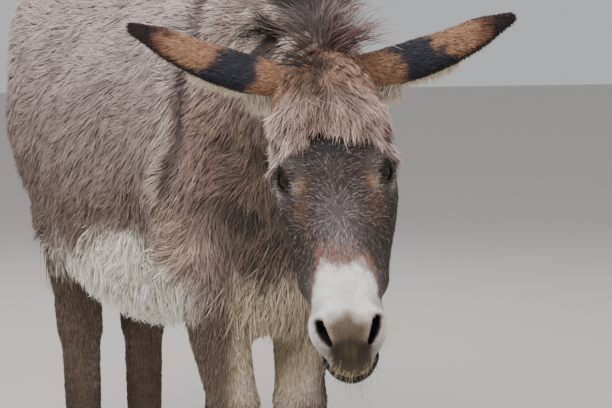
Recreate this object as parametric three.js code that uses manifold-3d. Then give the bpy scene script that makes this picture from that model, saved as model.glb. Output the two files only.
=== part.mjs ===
// A life-size standing donkey with its head lowered and turned to its right, ears held out sideways.
// Millimetres, +Z up, the animal faces -Y with its left side towards +X, and it stands on z = 0.
// The outline is that of the coat. Flesh is one implicit surface, which cut planes part into named pieces.
import * as THREE from "three";
import { mergeVertices } from "three/addons/utils/BufferGeometryUtils.js";
import Module from "manifold-3d";

const wasm = await Module();
wasm.setup();

// ---- Driving dimensions ----
const FORE_Y = -350; // the fore feet's line along the body
const WHEELBASE = 756; // fore feet to hind feet
const HIND_Y = FORE_Y + WHEELBASE;
const TRACK = { fore: 65, hind: 70 }; // half the distance between a pair of feet
const SHIFT = { fore: 8, hind: 32 }; // each pair of feet stands this far towards the animal's left
const GAP = 0.5; // clearance between neighbouring pieces
const HEAD_TURN = 28; // degrees, to the animal's right
const FACE_SLOPE = 60; // degrees, the face line below the horizontal
const HEAD_ROLL = 5; // degrees, poll towards the animal's right
const POLL = new THREE.Vector3(-111, -776, 974); // top of the skull between the ears
const EYE = { out: 61, along: 187, depth: 40, radius: 19.5 };
const EAR = { length: 256, radius: 32, wall: 6, sides: 8, rings: 9 };
const WOOL = 27; // depth of the wool over the brow
const MANE = { height: 74, width: 34, step: 44 };
const SIDES = [
  ["left", 1],
  ["right", -1],
];

const V = (x, y, z) => new THREE.Vector3(x, y, z);
const radians = THREE.MathUtils.degToRad;
const lerp = THREE.MathUtils.lerp;
const clamp = THREE.MathUtils.clamp;

// ---- Implicit shapes: each is a function of a point, negative inside ----
function ellipsoid(centre, radii) {
  return (p) => {
    const x = (p.x - centre.x) / radii.x;
    const y = (p.y - centre.y) / radii.y;
    const z = (p.z - centre.z) / radii.z;
    const k = Math.hypot(x, y, z);
    const g = Math.hypot(x / radii.x, y / radii.y, z / radii.z);
    return g < 1e-9 ? -Math.min(radii.x, radii.y, radii.z) : (k * (k - 1)) / g;
  };
}

// A rounded taper from a to b. Across the unit vector `flat` it is `ratio` times as thick.
function taper(a, ra, b, rb, flat = null, ratio = 1) {
  const ab = b.clone().sub(a);
  const length2 = ab.lengthSq();
  return (p) => {
    const ax = p.x - a.x;
    const ay = p.y - a.y;
    const az = p.z - a.z;
    const t = clamp((ax * ab.x + ay * ab.y + az * ab.z) / length2, 0, 1);
    let dx = ax - t * ab.x;
    let dy = ay - t * ab.y;
    let dz = az - t * ab.z;
    if (flat) {
      const stretch = (dx * flat.x + dy * flat.y + dz * flat.z) * (1 / ratio - 1);
      dx += flat.x * stretch;
      dy += flat.y * stretch;
      dz += flat.z * stretch;
    }
    return Math.hypot(dx, dy, dz) - lerp(ra, rb, t);
  };
}

function blendMin(a, b, k) {
  const h = Math.max(k - Math.abs(a - b), 0) / k;
  return Math.min(a, b) - (h * h * k) / 4;
}

// Joins shapes one after another, each as [shape, width of the fillet].
function blended(parts) {
  return (p) => parts.reduce((d, [shape, k]) => blendMin(d, shape(p), k), 1e4);
}

// Hollows a shape with others, each as [shape, width of the fillet].
function hollowed(base, cuts) {
  return (p) => cuts.reduce((d, [shape, k]) => -blendMin(-d, shape(p), k), base(p));
}

// ---- The head's own frame: x to its left, y along the face to the nose, z from the face to the jaw ----
function headFrame() {
  const turn = radians(HEAD_TURN);
  const slope = radians(FACE_SLOPE);
  const heading = V(-Math.sin(turn), -Math.cos(turn), 0);
  const left = V(Math.cos(turn), -Math.sin(turn), 0);
  const nose = heading.clone().multiplyScalar(Math.cos(slope)).add(V(0, 0, -Math.sin(slope)));
  const jaw = left.clone().cross(nose);
  const roll = new THREE.Matrix4().makeRotationAxis(heading, radians(HEAD_ROLL));
  for (const axis of [left, nose, jaw]) axis.applyMatrix4(roll);
  return new THREE.Matrix4().makeBasis(left, nose, jaw).setPosition(POLL);
}
const HEAD = headFrame();
const HEAD_INVERSE = HEAD.clone().invert();
const headPoint = (x, y, z) => V(x, y, z).applyMatrix4(HEAD);

// ---- Flesh of the head, in the head's frame ----
const ACROSS = V(1, 0, 0);

function headFlesh() {
  const parts = [
    [ellipsoid(V(0, 92, 74), V(76, 106, 80)), 1],
    [taper(V(0, 60, 72), 66, V(0, 200, 70), 68, ACROSS, 1.05), 40],
    [taper(V(0, 190, 68), 66, V(0, 400, 62), 46, ACROSS, 1.08), 40],
    [taper(V(0, 180, 184), 44, V(0, 400, 118), 29, ACROSS, 1.15), 40],
    [ellipsoid(V(0, 424, 64), V(47, 46, 47)), 30],
    [ellipsoid(V(0, 456, 86), V(35, 26, 33)), 22],
    [ellipsoid(V(0, 436, 124), V(34, 40, 26)), 14],
  ];
  for (const [, side] of SIDES) {
    parts.push(
      [ellipsoid(V(side * 57, 168, 58), V(30, 50, 40)), 24],
      [ellipsoid(V(side * 46, 176, 132), V(38, 108, 88)), 34],
      [taper(V(side * 57, 205, 88), 26, V(side * 44, 330, 88), 20), 34],
      [ellipsoid(V(side * 37, 414, 56), V(20, 31, 30)), 16],
    );
  }
  const cuts = SIDES.flatMap(([, side]) => [
    [ellipsoid(V(side * 80, 118, 48), V(12, 22, 16)), 18],
  ]);
  return hollowed(blended(parts), cuts);
}
const headShape = headFlesh();
const headField = (p) => headShape(p.clone().applyMatrix4(HEAD_INVERSE));

// ---- Flesh of the trunk, neck and legs, in the body's frame ----
function trunkParts() {
  const parts = [
    [ellipsoid(V(0, 60, 805), V(214, 440, 314)), 1],
    [ellipsoid(V(0, 90, 722), V(214, 345, 268)), 60],
    [ellipsoid(V(0, -270, 820), V(168, 220, 290)), 90],
    [ellipsoid(V(0, -205, 1035), V(60, 190, 114)), 80],
    [ellipsoid(V(0, 312, 920), V(168, 236, 252)), 90],
    [ellipsoid(V(0, -320, 610), V(96, 150, 140)), 60],
  ];
  for (const [, side] of SIDES) {
    parts.push(
      [ellipsoid(V(side * 104, -275, 840), V(78, 125, 220)), 60],
      [ellipsoid(V(side * 52, -425, 765), V(76, 78, 125)), 60],
      [ellipsoid(V(side * 113, 352, 992), V(101, 165, 148)), 60],
      [ellipsoid(V(side * 93, 430, 855), V(94, 122, 190)), 60],
    );
  }
  return parts;
}

function neckParts() {
  const middle = V(-22, -540, 905);
  const end = V(-66, -680, 893);
  const across = V(0.93, -0.36, 0);
  return [
    [taper(V(0, -330, 900), 205, middle, 148, ACROSS, 0.56), 90],
    [taper(middle, 148, end, 124, across, 0.62), 60],
  ];
}

function foreLegParts(side) {
  const at = (out) => side * out + SHIFT.fore;
  const x = at(TRACK.fore);
  const y = FORE_Y;
  return [
    [taper(V(side * 114, y + 35, 740), 84, V(side * 104, y + 48, 630), 74), 60],
    [taper(V(side * 99, y + 30, 620), 70, V(at(66), y + 2, 375), 48), 40],
    [ellipsoid(V(at(66), y, 335), V(50, 51, 64)), 30],
    [taper(V(at(66), y + 6, 310), 40, V(x, y + 10, 180), 37), 26],
    [ellipsoid(V(x, y + 12, 148), V(42, 46, 36)), 18],
    [taper(V(x, y + 8, 140), 37, V(x, y - 18, 70), 38), 18],
  ];
}

function hindLegParts(side) {
  const shift = (out, drop) => side * out + SHIFT.hind * drop;
  const x = shift(TRACK.hind, 1);
  const y = HIND_Y;
  return [
    [taper(V(shift(104, 0), y - 20, 830), 146, V(shift(108, 0), y - 96, 680), 110, ACROSS, 0.63), 60],
    [ellipsoid(V(shift(116, 0.1), y - 128, 670), V(62, 74, 92)), 50],
    [taper(V(shift(94, 0), y + 36, 800), 92, V(shift(86, 0.5), y + 42, 585), 48, ACROSS, 0.8), 50],
    [taper(V(shift(104, 0.3), y - 74, 630), 90, V(shift(78, 0.9), y + 22, 455), 60, ACROSS, 0.88), 50],
    [ellipsoid(V(shift(73, 1), y + 38, 405), V(52, 56, 60)), 30],
    [taper(V(shift(73, 1), y + 60, 415), 36, V(shift(73, 1), y + 78, 452), 27), 20],
    [taper(V(shift(73, 1), y + 76, 450), 24, V(shift(88, 0.6), y + 26, 580), 38), 40],
    [taper(V(shift(72, 1), y + 32, 370), 47, V(x, y + 24, 190), 41), 26],
    [ellipsoid(V(x, y + 24, 148), V(44, 48, 37)), 18],
    [taper(V(x, y + 18, 140), 38, V(x, y - 8, 70), 38), 18],
  ];
}

const headNeckBlend = 46;
const bodyShape = blended([
  ...trunkParts(),
  ...neckParts(),
  ...SIDES.flatMap(([, side]) => [...foreLegParts(side), ...hindLegParts(side)]),
]);
const flesh = (p) => blendMin(bodyShape(p), headField(p), headNeckBlend);

// ---- Surface nets: one vertex in each cell that the surface crosses, drawn onto the surface ----
function surfaceNet(field, low, high, cell) {
  const span = high.clone().sub(low).divide(cell).ceil();
  const size = [span.x, span.y, span.z];
  const at = (i, j, k) => V(low.x + i * cell.x, low.y + j * cell.y, low.z + k * cell.z);
  const edge = 0.6; // of a cell, how far inside the grid the closing walls stand
  const closed = (p) =>
    Math.max(
      field(p),
      ...[0, 1, 2].map((i) => {
        const inset = edge * cell.getComponent(i);
        const top = low.getComponent(i) + size[i] * cell.getComponent(i);
        const c = p.getComponent(i);
        return Math.max(low.getComponent(i) + inset - c, c - top + inset);
      }),
    );
  const [nx, ny, nz] = size.map((n) => n + 1);
  const index = (i, j, k) => (k * ny + j) * nx + i;
  const value = new Float64Array(nx * ny * nz);
  for (let k = 0; k < nz; k++)
    for (let j = 0; j < ny; j++) for (let i = 0; i < nx; i++) value[index(i, j, k)] = closed(at(i, j, k));

  fillCheckerboards(value, [nx, ny, nz], index);

  const CORNERS = [0, 1, 2, 3, 4, 5, 6, 7].map((c) => [c & 1, (c >> 1) & 1, (c >> 2) & 1]);
  const EDGES = [];
  for (let a = 0; a < 8; a++) for (const bit of [1, 2, 4]) if (!(a & bit)) EDGES.push([a, a | bit]);
  const vertexOf = new Int32Array(value.length).fill(-1);
  const slack = 0.35 * Math.min(cell.x, cell.y, cell.z);
  const points = [];
  for (let k = 0; k < nz - 1; k++)
    for (let j = 0; j < ny - 1; j++)
      for (let i = 0; i < nx - 1; i++) {
        const v = CORNERS.map(([a, b, c]) => value[index(i + a, j + b, k + c)]);
        const middle = V(0, 0, 0);
        let crossings = 0;
        for (const [a, b] of EDGES)
          if (v[a] < 0 !== v[b] < 0) {
            const from = at(i + CORNERS[a][0], j + CORNERS[a][1], k + CORNERS[a][2]);
            const to = at(i + CORNERS[b][0], j + CORNERS[b][1], k + CORNERS[b][2]);
            middle.add(from.lerp(to, v[a] / (v[a] - v[b])));
            crossings++;
          }
        if (!crossings) continue;
        vertexOf[index(i, j, k)] = points.length;
        points.push(drawnOnto(closed, middle.divideScalar(crossings), slack));
      }

  const triangles = [];
  const quad = (a, b, c, d, flip) => {
    const [p, q, r, s] = flip ? [a, d, c, b] : [a, b, c, d];
    if (points[p].distanceTo(points[r]) < points[q].distanceTo(points[s])) triangles.push(p, q, r, p, r, s);
    else triangles.push(p, q, s, q, r, s);
  };
  const corner = (i, j, k) => vertexOf[index(i, j, k)];
  for (let k = 0; k < nz - 1; k++)
    for (let j = 0; j < ny - 1; j++)
      for (let i = 0; i < nx - 1; i++) {
        const here = value[index(i, j, k)] < 0;
        if (j && k && here !== value[index(i + 1, j, k)] < 0)
          quad(corner(i, j - 1, k - 1), corner(i, j, k - 1), corner(i, j, k), corner(i, j - 1, k), !here);
        if (i && k && here !== value[index(i, j + 1, k)] < 0)
          quad(corner(i - 1, j, k - 1), corner(i - 1, j, k), corner(i, j, k), corner(i, j, k - 1), !here);
        if (i && j && here !== value[index(i, j, k + 1)] < 0)
          quad(corner(i - 1, j - 1, k), corner(i, j - 1, k), corner(i, j, k), corner(i - 1, j, k), !here);
      }
  return { points, triangles };
}

// Puts a sample inside wherever four or eight neighbours meet only across a diagonal, so that the net
// never touches itself.
function fillCheckerboards(value, [nx, ny, nz], index) {
  const touch = -0.01;
  const fill = (outside) => {
    const nearest = outside.reduce((a, b) => (value[b] < value[a] ? b : a));
    value[nearest] = touch;
  };
  let changed = true;
  while (changed) {
    changed = false;
    for (let k = 0; k < nz - 1; k++)
      for (let j = 0; j < ny - 1; j++)
        for (let i = 0; i < nx - 1; i++) {
          const corner = (a, b, c) => index(i + a, j + b, k + c);
          const faces = [
            [corner(0, 0, 0), corner(1, 0, 0), corner(1, 1, 0), corner(0, 1, 0)],
            [corner(0, 0, 0), corner(1, 0, 0), corner(1, 0, 1), corner(0, 0, 1)],
            [corner(0, 0, 0), corner(0, 1, 0), corner(0, 1, 1), corner(0, 0, 1)],
          ];
          for (const [a, b, c, d] of faces) {
            const [va, vb, vc, vd] = [a, b, c, d].map((n) => value[n] < 0);
            if (va === vc && vb === vd && va !== vb) {
              fill(va ? [b, d] : [a, c]);
              changed = true;
            }
          }
          for (const [a, b, c] of [[0, 0, 0], [1, 0, 0], [0, 1, 0], [1, 1, 0]]) {
            const pair = [corner(a, b, c), corner(1 - a, 1 - b, 1 - c)];
            const others = [
              corner(1 - a, b, c), corner(a, 1 - b, c), corner(a, b, 1 - c),
              corner(1 - a, 1 - b, c), corner(1 - a, b, 1 - c), corner(a, 1 - b, 1 - c),
            ];
            const inside = pair.map((n) => value[n] < 0);
            if (inside[0] !== inside[1]) continue;
            if (others.some((n) => value[n] < 0 === inside[0])) continue;
            fill(inside[0] ? others : pair);
            changed = true;
          }
        }
  }
}

function gradient(field, p) {
  const h = 0.5;
  return V(
    field(V(p.x + h, p.y, p.z)) - field(V(p.x - h, p.y, p.z)),
    field(V(p.x, p.y + h, p.z)) - field(V(p.x, p.y - h, p.z)),
    field(V(p.x, p.y, p.z + h)) - field(V(p.x, p.y, p.z - h)),
  ).divideScalar(2 * h);
}

// Moves a point onto the surface along the gradient, by no more than `limit`.
function drawnOnto(field, start, limit) {
  const p = start.clone();
  for (let step = 0; step < 3; step++) {
    const g = gradient(field, p);
    if (g.lengthSq() < 1e-6) break;
    p.addScaledVector(g, -field(p) / g.lengthSq());
  }
  const moved = p.clone().sub(start).clampLength(0, limit);
  return start.clone().add(moved);
}

// ---- Solids ----
function solidFrom(points, triangles) {
  const vertProperties = new Float32Array(points.flatMap((p) => [p.x, p.y, p.z]));
  const triVerts = new Uint32Array(triangles);
  return new wasm.Manifold(new wasm.Mesh({ numProp: 3, vertProperties, triVerts }));
}

function solidOf(geometry, matrix = new THREE.Matrix4()) {
  const bare = geometry.clone().applyMatrix4(matrix);
  bare.deleteAttribute("normal");
  bare.deleteAttribute("uv");
  const merged = mergeVertices(bare, 1e-4);
  const triVerts = new Uint32Array(merged.index.array);
  return new wasm.Manifold(
    new wasm.Mesh({ numProp: 3, vertProperties: merged.attributes.position.array, triVerts }),
  );
}

// A solid inside the field's surface, and the room it takes: the same net moved outwards by the gap.
function netWithRoom(field, low, high, cell, matrix = new THREE.Matrix4()) {
  const local = (p) => field(p.clone().applyMatrix4(matrix));
  const { points, triangles } = surfaceNet(local, low, high, cell);
  const outer = points.map((p) => p.clone().addScaledVector(gradient(local, p).normalize(), 1.3 * GAP));
  const placed = (list) => list.map((p) => p.clone().applyMatrix4(matrix));
  return [solidFrom(placed(points), triangles), solidFrom(placed(outer), triangles)];
}
const net = (...terms) => netWithRoom(...terms)[0];

// The half-space on the far side of a point, as a large box.
function beyond(point, normal, shift = 0) {
  const size = 3000;
  const n = normal.clone().normalize();
  const turn = new THREE.Quaternion().setFromUnitVectors(V(0, 0, 1), n);
  const centre = point.clone().addScaledVector(n, size / 2 + shift);
  const placed = new THREE.Matrix4().compose(centre, turn, V(1, 1, 1));
  return solidOf(new THREE.BoxGeometry(size, size, size), placed);
}

// A prism along X over an outline of [y, z] points.
function prismAlongX(outline, from, to) {
  const shape = new THREE.Shape(outline.map(([y, z]) => new THREE.Vector2(y, z)));
  const geometry = new THREE.ExtrudeGeometry(shape, { depth: to - from, bevelEnabled: false });
  const matrix = new THREE.Matrix4().makeBasis(V(0, 1, 0), V(0, 0, 1), V(1, 0, 0)).setPosition(from, 0, 0);
  return solidOf(geometry, matrix);
}

// A prism along Y over an outline of [x, z] points.
function prismAlongY(outline, from, to) {
  const shape = new THREE.Shape(outline.map(([x, z]) => new THREE.Vector2(x, z)));
  const geometry = new THREE.ExtrudeGeometry(shape, { depth: to - from, bevelEnabled: false });
  const matrix = new THREE.Matrix4().makeBasis(V(1, 0, 0), V(0, 0, 1), V(0, -1, 0)).setPosition(0, to, 0);
  return solidOf(geometry, matrix);
}

// A closed skin over rings that all have the same number of points.
function loft(rings) {
  const n = rings[0].length;
  const triangles = [];
  for (let r = 0; r < rings.length - 1; r++)
    for (let i = 0; i < n; i++) {
      const j = (i + 1) % n;
      const [a, b, c, d] = [r * n + i, r * n + j, (r + 1) * n + j, (r + 1) * n + i];
      triangles.push(a, b, c, a, c, d);
    }
  const cap = (ring, first, flip) => {
    const origin = ring[0];
    const u = ring[1].clone().sub(origin).normalize();
    const normal = V(0, 0, 0);
    ring.forEach((p, i) => normal.add(p.clone().sub(origin).cross(ring[(i + 1) % n].clone().sub(origin))));
    const v = normal.normalize().clone().cross(u);
    const flat = ring.map((p) => {
      const q = p.clone().sub(origin);
      return new THREE.Vector2(q.dot(u), q.dot(v));
    });
    for (const [a, b, c] of THREE.ShapeUtils.triangulateShape(flat, []))
      triangles.push(first + a, first + (flip ? c : b), first + (flip ? b : c));
  };
  cap(rings[0], 0, true);
  cap(rings.at(-1), (rings.length - 1) * n, false);
  const made = solidFrom(rings.flat(), triangles);
  if (made.volume() > 0) return made;
  const turned = [];
  for (let i = 0; i < triangles.length; i += 3) turned.push(triangles[i], triangles[i + 2], triangles[i + 1]);
  return solidFrom(rings.flat(), turned);
}

// ---- Materials ----
const finish = (color, roughness) => new THREE.MeshStandardMaterial({ color, roughness, metalness: 0 });
const FUR = {
  body: finish(0x8a7a6e, 0.95),
  face: finish(0x5e5048, 0.95),
  pale: finish(0xc9bfae, 0.95),
  dark: finish(0x33291f, 0.95),
};
const HORN = finish(0x3a3632, 0.6);
const EYE_GLOSS = finish(0x14100c, 0.1);

const donkey = new THREE.Group();
function place(name, solid, material) {
  const mesh = solid.getMesh();
  const geometry = new THREE.BufferGeometry();
  geometry.setAttribute("position", new THREE.BufferAttribute(new Float32Array(mesh.vertProperties), 3));
  geometry.setIndex(new THREE.BufferAttribute(new Uint32Array(mesh.triVerts), 1));
  geometry.computeVertexNormals();
  const piece = new THREE.Mesh(geometry, material);
  piece.name = name;
  donkey.add(piece);
}

// ---- Where the pieces part ----
const NECK_CUT = { point: V(0, -420, 870), normal: V(0, -0.86, 0.51) };
const headDirection = (x, y, z) => V(x, y, z).transformDirection(HEAD);
const HEAD_CUT = { point: headPoint(0, -12, 40), normal: headDirection(0, 0.88, -0.475) };
const JAW_OUTLINE = [[560, 104], [432, 99], [395, 116], [150, 200], [60, 330], [560, 330]];
const MUZZLE_FROM = 330;

// A leg parts from the trunk along an outline seen from the side, and from its twin beside the midline.
function legRegion(side, { outline, inner, midline }, grow) {
  const middle = (outline[0][0] + outline.at(-1)[0]) / 2;
  const wide = outline.map(([y, z]) => [y + Math.sign(y - middle) * grow, z > 0 ? z + grow : z]);
  return prismAlongX(wide, side > 0 ? midline + inner - grow : -340, side > 0 ? 340 : midline - inner + grow);
}
const FORE_OUTLINE = [
  [-150, -60], [-150, 470], [-128, 560], [-70, 632], [10, 655], [80, 622], [118, 540], [128, 470], [128, -60],
].map(([y, z]) => [y + FORE_Y, z]);
const HIND_OUTLINE = [
  [-200, -60], [-200, 540], [-110, 625], [0, 675], [310, 675], [310, -60],
].map(([y, z]) => [y + HIND_Y, z]);

const LEGS = {
  fore: {
    y: FORE_Y, back: 150, front: 170, toe: -22, cell: V(27, 28, 54),
    outline: FORE_OUTLINE, inner: 30, midline: SHIFT.fore / 2,
  },
  hind: {
    y: HIND_Y, back: 200, front: 230, toe: -12, cell: V(29, 31, 54),
    outline: HIND_OUTLINE, inner: 4, midline: SHIFT.hind / 2,
  },
};

function largest(solid) {
  return solid.decompose().sort((a, b) => b.volume() - a.volume())[0];
}

// ---- Ears: rolled leaves with a thin wall, held out sideways, open downwards ----
const UP = V(0, 0, 1);
const HEADING = V(-Math.sin(radians(HEAD_TURN)), -Math.cos(radians(HEAD_TURN)), 0);
const HEAD_LEFT = V(Math.cos(radians(HEAD_TURN)), -Math.sin(radians(HEAD_TURN)), 0);
const EAR_AIM = {
  right: { out: -0.93, up: 0.08, back: 0.26, along: 7, lift: 58 },
  left: { out: 0.9, up: 0.1, back: 0.36, along: 0, lift: 54 },
};

function earStation(name, side, t) {
  const aim = EAR_AIM[name];
  const axis = V(0, 0, 0)
    .addScaledVector(HEAD_LEFT, aim.out)
    .addScaledVector(UP, aim.up)
    .addScaledVector(HEADING, -aim.back)
    .normalize();
  const centre = headPoint(side * 48, aim.along, 66)
    .addScaledVector(axis, EAR.length * t)
    .addScaledVector(UP, aim.lift * t * t);
  const spine = V(0, 0, 0).addScaledVector(UP, 0.8).addScaledVector(HEADING, lerp(0.62, 0.1, t));
  spine.addScaledVector(axis, -spine.dot(axis)).normalize();
  const across = axis.clone().cross(spine);
  const bell = Math.pow(Math.sin(Math.PI * (0.24 + 0.58 * t)), 0.7);
  const tip = Math.sqrt(clamp((1.05 - t) / 0.26, 0, 1));
  return { centre, spine, across, radius: EAR.radius * bell * tip };
}

const ringAt = ({ centre, spine, across }, radius, angle) =>
  centre
    .clone()
    .addScaledVector(spine, radius * Math.cos(angle))
    .addScaledVector(across, radius * Math.sin(angle));

function earSolid(name, side) {
  const rings = Array.from({ length: EAR.rings }, (_, i) => {
    const t = i / (EAR.rings - 1);
    const station = earStation(name, side, t);
    const open = radians(lerp(158, 96, Math.sqrt(t)));
    const wall = Math.min(EAR.wall, 0.6 * station.radius);
    const angles = Array.from({ length: EAR.sides }, (_, k) => open * ((2 * k) / (EAR.sides - 1) - 1));
    const outer = angles.map((angle) => ringAt(station, station.radius, angle));
    const inner = angles.map((angle) => ringAt(station, station.radius - wall, angle)).reverse();
    return [...outer, ...inner];
  });
  return loft(rings);
}

// The room that an ear takes where it stands in the head.
function earRoom(name, side) {
  const sides = 16;
  const rings = Array.from({ length: EAR.rings }, (_, i) => {
    const station = earStation(name, side, i / (EAR.rings - 1));
    const radius = (station.radius + 1.6 * GAP) / Math.cos(Math.PI / sides);
    return Array.from({ length: sides }, (_, k) => ringAt(station, radius, (2 * Math.PI * k) / sides));
  });
  return loft(rings);
}
const EAR_ROOMS = SIDES.map(([name, side]) => earRoom(name, side));
for (const [name, side] of SIDES) place(`ear_${name}`, earSolid(name, side), FUR.dark);

// ---- Trunk and neck ----
const [torso, torsoRoom] = netWithRoom(flesh, V(-320, -900, 430), V(310, 660, 1230), V(59, 62, 58));
let trunk = torso.subtract(beyond(NECK_CUT.point, NECK_CUT.normal, -GAP));
for (const [, side] of SIDES)
  for (const leg of Object.values(LEGS)) trunk = trunk.subtract(legRegion(side, leg, GAP));
place("trunk", largest(trunk), FUR.body);

const neck = torso
  .intersect(beyond(NECK_CUT.point, NECK_CUT.normal))
  .subtract(beyond(HEAD_CUT.point, HEAD_CUT.normal, -GAP))
  .subtract(EAR_ROOMS[0])
  .subtract(EAR_ROOMS[1]);
place("neck", largest(neck), FUR.body);

// ---- Legs and hooves ----
const CORONET_Z = 60;
const CORONET_NORMAL = V(0, 0.34, -1);

function hoof(x, y, length, width) {
  const sides = 16;
  const levels = [
    [0, 1, -12],
    [0.12, 0.99, -11],
    [1, 0.8, 0],
  ];
  const rings = levels.map(([up, scale, lean]) =>
    Array.from({ length: sides }, (_, i) => {
      const angle = (2 * Math.PI * i) / sides;
      const px = x + width * scale * Math.cos(angle);
      const py = y + lean + length * scale * Math.sin(angle) * (Math.sin(angle) > 0 ? 0.82 : 1);
      const rim = CORONET_Z + CORONET_NORMAL.y * (py - y) - GAP;
      return V(px, py, up === 1 ? rim : up * CORONET_Z);
    }),
  );
  return loft(rings);
}

for (const [name, side] of SIDES)
  for (const [end, leg] of Object.entries(LEGS)) {
    const x = side * TRACK[end] + SHIFT[end];
    const low = V(side > 0 ? leg.midline + 1 : -260, leg.y - leg.front, 20);
    const high = V(side > 0 ? 270 : leg.midline - 1, leg.y + leg.back, 720);
    const coronet = V(x, leg.y + leg.toe, CORONET_Z);
    const flank = net(flesh, low, high, leg.cell)
      .intersect(legRegion(side, leg, 0))
      .subtract(beyond(coronet, CORONET_NORMAL, -GAP));
    place(`${end}leg_${name}`, largest(flank), FUR.body);
    place(`hoof_${end}_${name}`, hoof(x, leg.y + leg.toe, 50, 43), HORN);
  }

// ---- Head, muzzle, lower jaw and eyes ----
function headPrism(outline) {
  const shape = new THREE.Shape(outline.map(([y, z]) => new THREE.Vector2(y, z)));
  const geometry = new THREE.ExtrudeGeometry(shape, { depth: 400, bevelEnabled: false });
  const local = new THREE.Matrix4().makeBasis(V(0, 1, 0), V(0, 0, 1), V(1, 0, 0)).setPosition(-200, 0, 0);
  return solidOf(geometry, HEAD.clone().multiply(local));
}

const [skull, skullRoom] = netWithRoom(flesh, V(-130, -70, -40), V(130, 545, 275), V(28, 32, 27), HEAD);
const muzzleNet = net(flesh, V(-80, MUZZLE_FROM - 30, 0), V(80, 530, 190), V(19, 20, 19), HEAD);
const jaw = headPrism(JAW_OUTLINE);
const jawRoomOutline = JAW_OUTLINE.map(([y, z], i) => {
  const behind = i === 3 || i === 4;
  return [behind ? y - GAP : y, i < 4 ? z - GAP : z];
});
const jawRoom = headPrism(jawRoomOutline);
const muzzlePlane = { point: headPoint(0, MUZZLE_FROM, 0), normal: headDirection(0, 1, 0) };

let head = skull
  .intersect(beyond(HEAD_CUT.point, HEAD_CUT.normal))
  .subtract(jawRoom)
  .subtract(beyond(muzzlePlane.point, muzzlePlane.normal, -GAP))
  .subtract(EAR_ROOMS[0])
  .subtract(EAR_ROOMS[1]);
for (const [name, side] of SIDES) {
  const centre = headPoint(side * EYE.out, EYE.along, EYE.depth);
  const gaze = headDirection(side * 0.74, 0.1, -0.66);
  const placed = new THREE.Matrix4().setPosition(centre);
  const ball = (radius) => solidOf(new THREE.SphereGeometry(radius, 12, 7), placed);
  const lids = HEAD.clone()
    .setPosition(centre.clone().addScaledVector(gaze, EYE.radius + 6))
    .multiply(new THREE.Matrix4().makeScale(16, 18, 13));
  head = head.subtract(ball(EYE.radius + GAP)).subtract(solidOf(new THREE.SphereGeometry(1, 10, 6), lids));
  place(`eye_${name}`, ball(EYE.radius), EYE_GLOSS);
}

let muzzle = muzzleNet.intersect(beyond(muzzlePlane.point, muzzlePlane.normal)).subtract(jawRoom);
for (const [, side] of SIDES) {
  const nostril = HEAD.clone()
    .multiply(new THREE.Matrix4().makeRotationZ(radians(side * -22)).setPosition(side * 42, 420, 14))
    .multiply(new THREE.Matrix4().makeScale(8, 15, 20));
  muzzle = muzzle.subtract(solidOf(new THREE.SphereGeometry(1, 10, 6), nostril));
}
place("head", largest(head), FUR.face);
place("muzzle", largest(muzzle), FUR.pale);
const lowerJaw = skull.intersect(jaw).intersect(beyond(HEAD_CUT.point, HEAD_CUT.normal));
place("lower_jaw", largest(lowerJaw), FUR.face);

// ---- Forelock: a deep cap of wool from the poll to the brow, with an arched lower edge ----
function woolField(p) {
  const q = p.clone().applyMatrix4(HEAD_INVERSE);
  const edge = 116 + 44 * clamp(Math.abs(q.x) / 80, 0, 1.1);
  const arch = (q.y - edge) * 0.7;
  const crown = 15 * clamp(1 - q.y / 60, 0, 1);
  const temple = 12 * clamp((q.y - 100) / 60, 0, 1) * clamp((Math.abs(q.x) - 50) / 30, 0, 1);
  return Math.max(flesh(p) - WOOL + crown + temple, arch, q.z - 84, -q.y - 8);
}
const wool = net(woolField, V(-130, -70, -60), V(130, 200, 130), V(26, 28, 26), HEAD)
  .intersect(beyond(HEAD_CUT.point, HEAD_CUT.normal))
  .subtract(skullRoom)
  .subtract(EAR_ROOMS[0])
  .subtract(EAR_ROOMS[1]);
place("forelock", largest(wool), FUR.body);

// ---- Mane: an upright ragged strip along the crest from the poll to the withers ----
function crestPoint(y) {
  const bend = [[-200, 0], [-400, -5], [-540, -22], [-680, -66], [-790, -112]];
  const i = Math.max(0, bend.findIndex(([to], k) => k < bend.length - 1 && y <= to && y >= bend[k + 1][0]));
  const [[y0, x0], [y1, x1]] = [bend[i], bend[i + 1]];
  const x = lerp(x0, x1, (y - y0) / (y1 - y0));
  let z = 1300;
  while (flesh(V(x, y, z)) > 0.5) z -= Math.max(0.5, 0.5 * flesh(V(x, y, z)));
  return V(x, y, z);
}

const crest = [];
for (let y = -200; y > -770; y -= MANE.step) crest.push(crestPoint(y));
const maneRings = crest.map((root, i) => {
  const before = crest[Math.max(0, i - 1)];
  const after = crest[Math.min(crest.length - 1, i + 1)];
  const run = after.clone().sub(before).normalize();
  const side = UP.clone().cross(run).normalize();
  const rise = run.clone().cross(side);
  const fade = Math.min(1, 0.35 + i * 0.12);
  const height = fade * (MANE.height + (i % 2 ? 9 : -9));
  const half = MANE.width / 2;
  const left = [[-half, -26], [-half, 8], [-half * 0.35, height]];
  const outline = [...left, ...left.map(([s, h]) => [-s, h]).reverse()];
  return outline.map(([s, h]) => root.clone().addScaledVector(side, s).addScaledVector(rise, h));
});
const mane = loft(maneRings)
  .subtract(beyond(HEAD_CUT.point, HEAD_CUT.normal, -GAP))
  .subtract(torsoRoom)
  .subtract(EAR_ROOMS[0])
  .subtract(EAR_ROOMS[1]);
place("mane", largest(mane), FUR.dark);

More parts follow.
